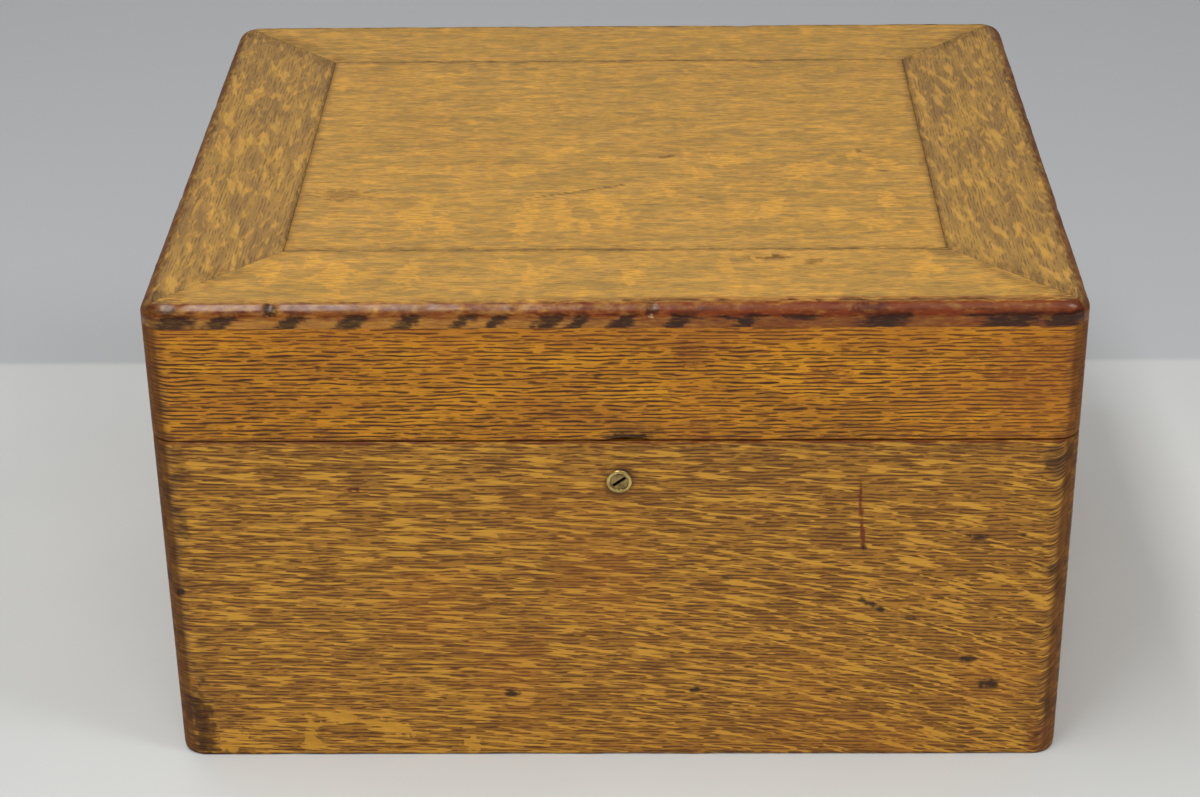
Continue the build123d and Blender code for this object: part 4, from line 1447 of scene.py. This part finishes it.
    def build_panel(self, oak: Material) -> None:
        """Builds the flush panel: a cross-section carried along X, whose top is drawn down at the ends.

        The top sags a little, by gentle noise, from 2 to 20 mm inside its edges.

        Args:
            oak: the panel's finish.
        """
        low, high, tongue = self.groove
        top, cut = self.top, self.chamfer
        bottom, margin = top - self.panel_t, self.frame_w + self.panel_gap
        half_x, half_y = self.joinery.width / 2 - margin, self.joinery.depth / 2 - margin
        tip = half_y + tongue
        edge = ((half_y, top - cut), (half_y, high), (tip, high), (tip, low), (half_y, low))
        section = trace(
            (cut - half_y, top, 0.0, self.panel_step), (half_y - cut, top), *edge,
            (half_y, bottom, 0.0, 12.0), (-half_y, bottom), *((-y, z) for y, z in reversed(edge)),
        )
        run = spread(cut - half_x, half_x - cut, self.panel_step)
        x = np.concatenate([[-half_x], run, [half_x]])[:, None]
        y, z = (np.repeat(section[None, :, axis], len(x), axis=0) for axis in (0, 1))
        drawn = np.where(np.abs(x) > half_x - 0.5 * cut, cut, 0.0)
        inner = ramp(half_y - np.abs(y), 2, 20) * ramp(half_x - np.abs(x), 2, 20)
        sag = 0.12 * (1.0 + patchy(x, y, 60, 5)) * inner
        z = z - np.where(z > top - 0.5 * cut, drawn + sag, 0.0)
        skin = sweep(np.stack([np.broadcast_to(x, y.shape), y, z], axis=-1))
        piece = Piece("top_panel_board", *skin, "lid", "top_panel", "oak").build()
        along, across, up = piece.places().T
        piece.keep("grain", along + 1900, across + 400, up)
        upper = (up > top - 1.5).astype(float)
        front, flank = half_y - np.abs(across), half_x - np.abs(along)
        rough = 0.5 + 0.5 * patchy(along, across, 9, 7)
        patina = Patina(along, across)
        patina.lay(self.top_marks, upper)
        patina.put(Tint.DIRT, 0.45 * ramp(front, 0.9, 0.1) * upper)
        patina.put(
            Tint.BROWN,
            0.7 * ramp(flank, 3, 1) * upper,
            0.5 * ramp(np.minimum(front, flank), 9, 0.5) * rough * upper,
            0.12 * ramp(patchy(along, across * 3, 40, 8), 0.2, 0.9),
        )
        patina.put(Tint.WARM, 0.15 * ramp(patchy(along, across, 45, 9), -0.2, 0.9))
        patina.keep(piece)
        piece.dress(oak)


@dataclass
class Lock:
    """The lock's face: the barrel with its rim, and the plug with its keyway.

    The square is given by half its size and where it ends, and the keyway by its width, thickness and
    depth. The tilt is in degrees.
    """

    rim_r: float = 7.75
    rim_t: float = 0.8
    rim_round: float = 0.75
    lip_round: float = 0.6
    barrel_r: float = 7.0
    bore_r: float = 5.58
    plug_r: float = 5.5
    plug_long: float = 10.4
    square: tuple[float, float] = (2.0, 11.8)
    tail_r: float = 2.2
    keyway: tuple[float, float, float] = (9.5, 2.0, 9.0)
    keyway_round: float = 0.4
    tilt: float = 36.0
    turns: int = 96

    def build(self) -> None:
        """Builds and dresses the barrel and the plug, each round its node's own axis."""
        low, high = box("lock_barrel")
        axis = np.array([(low[0] + high[0]) / 2, low[1], (low[2] + high[2]) / 2])
        piece = Piece("lock_barrel_turned", *self.barrel(axis, high[1] - low[1]), "case", "lock_barrel",
                      "lock_face_brass")
        # The rim's paler brass is partly a painted highlight, and the plug's darker brass is partly painted
        # shade
        piece.build().dress(RIM_BRASS.material())
        low, high = box("lock_plug")
        axis[1] = low[1]
        piece = Piece("lock_plug_turned", *self.plug(axis, high[1] - low[1]), "lock_plug", "lock_plug",
                      "lock_face_brass")
        piece.build((self.key_tool(axis),)).dress(PLUG_BRASS.material())

    def barrel(self, start: Array, length: float) -> tuple[Array, list]:
        """The barrel's skin: its section, turned once round the axis.

        Args:
            start: the front end of the axis.
            length: the barrel's length.

        Returns:
            The points and the faces.
        """
        section = trace(
            (self.bore_r, 0.0, self.lip_round, 1.0), (self.rim_r, 0.0, self.rim_round, 1.0),
            (self.rim_r, self.rim_t, 0.0, 1.0), (self.barrel_r, self.rim_t, 0.0, 1.5),
            (self.barrel_r, length, 0.0, 1.0), (self.bore_r, length, 0.0, 1.5), arc=6,
        )
        angle = np.linspace(0.0, 2 * math.pi, self.turns, endpoint=False)[:, None]
        radius, deep = section.T
        around = np.broadcast_arrays(radius * np.cos(angle), deep, radius * np.sin(angle))
        return sweep(start + np.stack(around, axis=-1), joined=True)

    def plug(self, start: Array, length: float) -> tuple[Array, list]:
        """The plug's skin: a round front with an eased edge, a square behind it and a round tail.

        Args:
            start: the front end of the axis.
            length: the plug's length with its tail.

        Returns:
            The points and the faces.
        """
        angle = np.linspace(0.0, 2 * math.pi, self.turns, endpoint=False)
        half, tail_at = self.square
        square = half / np.maximum(np.abs(np.cos(angle)), np.abs(np.sin(angle)))
        step = 0.01
        profile = (
            (0.0, self.plug_r - 0.25),
            (0.07, self.plug_r - 0.08),
            (0.25, self.plug_r),
            (self.plug_long, self.plug_r),
            (self.plug_long + step, square),
            (tail_at, square),
            (tail_at + step, self.tail_r),
            (length, self.tail_r),
        )
        radii = np.array([np.broadcast_to(radius, angle.shape) for _, radius in profile])
        return sweep(rings(radii, [height for height, _ in profile], start, self.turns))

    def key_tool(self, start: Array) -> Piece:
        """The keyway as a tool: a slot of the key's section, turned to its tilt, from before the face.

        Args:
            start: the middle of the plug's face.

        Returns:
            The tool.
        """
        wide, thick, deep = self.keyway
        ends = ((-wide, -thick), (wide, -thick), (wide, thick), (-wide, thick))
        section = trace(*((x / 2, z / 2, self.keyway_round, 1.0) for x, z in ends), arc=3)
        cos, sin = math.cos(math.radians(self.tilt)), math.sin(math.radians(self.tilt))
        x, z = (section @ ((cos, sin), (-sin, cos))).T
        levels = [start + np.column_stack([x, np.full(len(x), y), z]) for y in (-2.0, deep)]
        return Piece("tool", *sweep(np.array(levels)))


@dataclass(frozen=True)
class Gap:
    """A stretch of a covered board that is cut away, from one place to another along it."""

    start: float
    end: float
    amount: float
    from_top: bool = True
    round_foot: bool = False

    def depth(self, place: Array, soft: float = 0.6, dip: float = 0.35) -> Array:
        """How deep the gap is at each place along.

        Args:
            place: places along the board.
            soft: how far beside the gap its edge is rounded.
            dip: how deep the rounding is next to the gap.

        Returns:
            A depth for each place, less a circle's height in a gap with a round foot.
        """
        half, middle = (self.end - self.start) / 2, (self.start + self.end) / 2
        away = np.abs(place - middle)
        rise = half - np.sqrt(np.clip(half**2 - away**2, 0.0, None)) if self.round_foot else 0.0
        return np.where(away <= half + 0.001, self.amount - rise, dip * ramp(np.abs(away - half), soft, 0.0))


@dataclass
class CoveredBoard:
    """A card, board or bar with baize glued over it, so that every edge is soft.

    Its skin is a box's core grown by a ball: round the section each point is a core point plus the
    edge's radius in its own direction, and over the ends the radius falls as the cosine of an angle
    while the place along grows by its sine. Gaps let the top down or the foot up between close pairs
    of sections, and stretch the sides to suit. Along and up are the axes that it is long and high on.
    """

    name: str
    node: str
    body: str
    along: int
    up: int
    edge: float
    step: float = 8.0
    gaps: tuple[Gap, ...] = ()
    slot: str = "baize"

    def loop(self, thick: float, height: float) -> tuple[Array, Array]:
        """The core's outline with a fan of directions at each of its corners.

        Args:
            thick: half the size across.
            height: half the size up.

        Returns:
            Core points and their directions round the section.
        """
        a, b = thick - self.edge, height - self.edge
        side, over = spread(-b, b, self.step), spread(-a, a, self.step)
        fan = np.linspace(0.0, math.pi / 2, 5)[1:-1]
        cores, angles = [], []
        for k, (run, fixed) in enumerate(((side, a), (-over, b), (-side, -a), (over, -b))):
            pair = (np.full(len(run), fixed), run)
            core = np.column_stack(pair[::-1] if k % 2 else pair)
            cores += [core, np.repeat(core[-1:], len(fan), axis=0)]
            angles += [np.full(len(run), k * math.pi / 2), k * math.pi / 2 + fan]
        angle = np.concatenate(angles)
        return np.concatenate(cores), np.column_stack([np.cos(angle), np.sin(angle)])

    def stations(self, half: float, middle: float) -> tuple[Array, Array]:
        """The sections' places along, closer at the gaps and over the ends.

        Args:
            half: half the length.
            middle: the middle's place along.

        Returns:
            Places from the middle, with a share of the edge's radius at each.
        """
        run = half - self.edge
        places = list(spread(-run, run, self.step))
        for gap in self.gaps:
            low, high = gap.start - middle, gap.end - middle
            steps = np.linspace(low, high, 9 if gap.round_foot else 2)
            places += [low - 0.6, low - 0.02, *steps, high + 0.02, high + 0.6]
        places = np.unique(np.round(np.clip(places, -run, run), 4))
        turn = np.linspace(0.0, math.pi / 2, 5)[1:]
        ends = run + self.edge * np.sin(turn)
        along = np.concatenate([-ends[::-1], places, ends])
        share = np.concatenate([np.cos(turn)[::-1], np.ones(len(places)), np.cos(turn)])
        return along, share

    def skin(self) -> tuple[Array, list]:
        """The closed skin over the CAD node's own box.

        Returns:
            The points and the faces.
        """
        low, high = box(self.node)
        middle, half = (low + high) / 2, (high - low) / 2
        thin = 3 - self.along - self.up
        core, way = self.loop(half[thin], half[self.up])
        along, share = self.stations(half[self.along], middle[self.along])
        down, lift = np.zeros_like(along), np.zeros_like(along)
        for gap in self.gaps:
            cut = down if gap.from_top else lift
            np.maximum(cut, gap.depth(along + middle[self.along]), out=cut)
        reach = half[self.up] - self.edge
        top, foot = reach - down[:, None], lift[:, None] - reach
        level = foot + (core[None, :, 1] + reach) / (2 * reach) * (top - foot)
        ball = self.edge * share[:, None, None] * way
        points = np.zeros((*level.shape, 3))
        points[..., self.along] = along[:, None]
        points[..., self.up] = level + ball[..., 1]
        points[..., thin] = core[None, :, 0] + ball[..., 0]
        return sweep(points + middle)

    def build(self, baize: Material) -> bpy.types.Object:
        """Builds and dresses the piece in place of its CAD node.

        Args:
            baize: the cloth.

        Returns:
            The finished object.
        """
        piece = Piece(self.name, *self.skin(), self.body, self.node, self.slot).build()
        piece.dress(baize)
        return piece.shown


@dataclass
class Baize:
    """Everything that is lined or covered in green baize: the well, the lid and the tray.

    The window for the lock is given by its start, end and depth, and a rack's slot by width and depth.
    """

    card_edge: float = 0.55
    floor_edge: float = 0.45
    pad_edge: float = 1.3
    board_edge: float = 1.8
    lock_window: tuple[float, float, float] = (-36.5, 41.5, 51.5)
    rack_first: float = -236.5
    rack_pitch: float = 15.0
    rack_slots: int = 12
    rack_slot: tuple[float, float] = (6.0, 10.0)
    columns: tuple[float, ...] = (46.67, 149.33)
    column_t: float = 6.0

    def build(self) -> None:
        """Builds and dresses the linings, the pad and the tray's fittings."""
        baize = BAIZE.material()
        for part, body in (("well", "case"), ("lid", "lid")):
            for side in (Side.FRONT, Side.BACK, Side.LEFT, Side.RIGHT):
                node = f"{part}_lining_{side.word}"
                gaps = (Gap(*self.lock_window),) if node == "well_lining_front" else ()
                along = 0 if side.long else 1
                card = CoveredBoard(f"{node}_baize", node, body, along, 2, self.card_edge, gaps=gaps)
                self.stretch(card, baize, f"{body}_{side.word}_wall")
        floor = CoveredBoard("well_floor_baize", "well_lining_floor", "case", 0, 1, self.card_edge)
        self.stretch(floor, baize, "case_bottom_panel")
        tray = CoveredBoard("tray_floor_baize", "tray_lining", "tray", 0, 1, self.floor_edge)
        self.stretch(tray, baize, "tray_bottom")
        pad = CoveredBoard("lid_pad_baize", "lid_lining_top", "lid", 0, 1, self.pad_edge, step=9.0)
        pad.build(baize)
        self.fittings(baize)

    def stretch(self, card: CoveredBoard, baize: Material, on: str) -> None:
        """Builds a card.

        Args:
            card: the card with its cloth.
            baize: the cloth.
            on: the piece that the card rests on; not used.
        """
        card.build(baize)

    def fittings(self, baize: Material) -> None:
        """Builds the tray's partitions, which are halved together where they cross, and the knife racks.

        Args:
            baize: the cloth.
        """
        low, high = box("knife_side_partition")
        lap, half = (high[2] - low[2]) / 2, self.column_t / 2
        wide, deep = self.rack_slot
        starts = self.rack_first - wide / 2 + self.rack_pitch * np.arange(self.rack_slots)
        laps = tuple(Gap(x - half, x + half, lap, from_top=False) for x in self.columns)
        slots = tuple(Gap(start, start + wide, deep, round_foot=True) for start in starts)
        for name, node, along, gaps in (
            ("knife_side_partition", "knife_side_partition", 1, ()),
            ("knife_end_partition", "knife_end_partition", 0, ()),
            ("cross_partition", "cell_cross_partition", 0, laps),
            ("knife_rack_front", "knife_rack_front", 0, slots),
            ("knife_rack_back", "knife_rack_back", 0, slots),
        ):
            CoveredBoard(
                f"{name}_baize", node, "tray", along, 2, self.board_edge, 12.0, gaps, "baize_board",
            ).build(baize)


def dress_nodes() -> None:
    """Gives every CAD node that stays shown its finish by its slot, and oak where the slot has no other."""
    plain = {flow: PLAIN_OAK.material(flow) for flow in (Flow.ALONG_X, Flow.ALONG_Y)}
    plate, baize = PLATE_BRASS.material(), BAIZE.material()
    finishes = {
        "oak_spline": RAW_OAK.material(Flow.ALONG_X),
        "hinge_brass": HINGE_BRASS.material(),
        "brass_screw": SCREW_BRASS.material(),
        "lock_brass": plate,
        "lock_face_brass": plate,
        "baize": baize,
        "baize_board": baize,
    }
    for name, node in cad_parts.items():
        slots = [place.material.name for place in node.material_slots if place.material]
        slot = slots[0].split(".")[0] if slots else ""
        across = name.endswith(("_left", "_right", "_end"))
        for place in node.material_slots:
            place.material = finishes.get(slot, plain[Flow.ALONG_Y if across else Flow.ALONG_X])
        log.info("%s: dressed for slot %s", name, slot)


# The studio


def stand(data: bpy.types.Camera | bpy.types.Light, place: tuple, ahead: Array,
          roll: float = 0.0) -> bpy.types.Object:
    """Stands a camera or a lamp in the scene.

    Its axes are the right, the up and the back of its view. The right is level and square to the way
    ahead, and the roll then turns right and up round that way.

    Args:
        data: the camera or the lamp.
        place: where it stands, in metres.
        ahead: the way it looks, of any length.
        roll: the turn in radians.

    Returns:
        The object.
    """
    thing = bpy.data.objects.new(data.name, data)
    bpy.context.scene.collection.objects.link(thing)
    ahead = ahead / np.linalg.norm(ahead)
    right = np.cross(ahead, (0.0, 0.0, 1.0))
    right = right / np.linalg.norm(right)
    up = np.cross(right, ahead)
    cos, sin = math.cos(roll), math.sin(roll)
    axes = np.column_stack([right * cos + up * sin, up * cos - right * sin, -ahead])
    thing.matrix_world = Matrix.Translation(place) @ Matrix(axes.tolist()).to_4x4()
    return thing


@dataclass(frozen=True)
class Softbox:
    """A rectangular lamp: its place, size, power in watts, and the point it is aimed at. Metres."""

    name: str
    place: tuple[float, float, float]
    size: tuple[float, float]
    power: float
    aim: tuple[float, float, float]
    glossy: bool = True

    def build(self) -> None:
        """Places the lamp, which brass and varnish reflect only if it is glossy."""
        data = bpy.data.lights.new(self.name, "AREA")
        data.shape, data.energy = "RECTANGLE", self.power
        data.size, data.size_y = self.size
        lamp = stand(data, self.place, np.subtract(self.aim, self.place))
        lamp.visible_glossy = self.glossy


@dataclass
class Studio:
    """A pale floor, soft light and the photograph's viewpoint. Metres, radians and millimetres of lens."""

    eye: tuple[float, float, float] = (0.019327, -1.621358, 1.006795)
    yaw: float = -0.020025
    pitch: float = 0.494885
    roll: float = -0.013159
    lens: float = 79.529
    sensor: float = 36.0
    floor_half: float = 6.0
    floor_edge: float = 0.307
    edge_soft: float = 0.004
    lamps: tuple[Softbox, ...] = (
        Softbox("ceiling_strip", (-0.53, -0.6, 2.35), (0.38, 2.0), 30.0, (-0.53, -0.5, 0.2)),
        Softbox("right_light", (1.5, -0.9, 2.2), (0.5, 1.1), 13.5, (0.2, 0.0, 0.3)),
        Softbox("ceiling_panel", (0.35, -1.0, 2.7), (3.0, 1.6), 12.0, (0.0, -0.3, 0.0)),
        Softbox("room_light", (0.3, -2.6, 1.5), (1.8, 1.8), 18.0, (0.0, 0.0, 0.1), glossy=False),
        Softbox("back_light", (-0.4, 3.0, 1.3), (2.0, 1.0), 9.0, (0.0, 0.0, 0.2), glossy=False),
    )

    def build(self) -> None:
        """Builds the floor, the sky, the lamps and the camera."""
        self.floor()
        self.sky()
        for lamp in self.lamps:
            lamp.build()
        self.camera()

    def camera(self) -> None:
        """Places the camera, whose view is the photograph's 1200 x 797 frame."""
        data = bpy.data.cameras.new("view")
        data.lens, data.sensor_width = self.lens, self.sensor
        level = math.cos(self.pitch)
        ahead = np.array([math.sin(self.yaw) * level, math.cos(self.yaw) * level, -math.sin(self.pitch)])
        bpy.context.scene.camera = stand(data, self.eye, ahead, self.roll)

    def floor(self) -> None:
        """The pale table, with a greyer zone beyond its back edge."""
        half, edge, soft = self.floor_half, self.floor_edge, self.edge_soft
        mesh = bpy.data.meshes.new("table")
        corners = [(-half, -half, 0), (half, -half, 0), (half, half, 0), (-half, half, 0)]
        mesh.from_pydata(corners, [], [(0, 1, 2, 3)])
        table = bpy.data.objects.new("table", mesh)
        bpy.context.scene.collection.objects.link(table)
        g = Graph(bpy.data.materials.new("plain_table"))
        place = g.add("TexCoord", out="Object")
        beyond = g.fit(g.add("SeparateXYZ", place, out="Y"), edge - soft, edge + soft)
        cloud = g.fit(g.noise(place, 3.0, scale=3.0), 0.3, 0.7)
        colour = g.blend(beyond, g.blend(cloud, "#CBCCCA", "#D2D3D1"), "#BABBBC")
        mesh.materials.append(g.surface(base_color=colour, roughness=0.8, specular_ior_level=0.2))

    def sky(self) -> None:
        """A pale sky that darkens towards the horizon: its strength follows the height of the direction."""
        scene = bpy.context.scene
        scene.view_settings.view_transform = "Standard"
        scene.world = bpy.data.worlds.new("studio")
        g = Graph(scene.world)
        height = g.add("SeparateXYZ", g.add("TexCoord", out="Generated"), out="Z")
        strength = g.fit(height, -0.1, 0.7, 0.12, 0.36)
        g.add("OutputWorld", g.add("Background", linear("#EEF0F2"), strength))


def main() -> None:
    """Builds the studio and the sub-assemblies in order."""
    logging.basicConfig(level=logging.INFO, format="%(message)s")
    dress_nodes()
    Studio().build()
    Case().build()
    Lid().build()
    Lock().build()
    Baize().build()


if __name__ == "__main__":
    main()
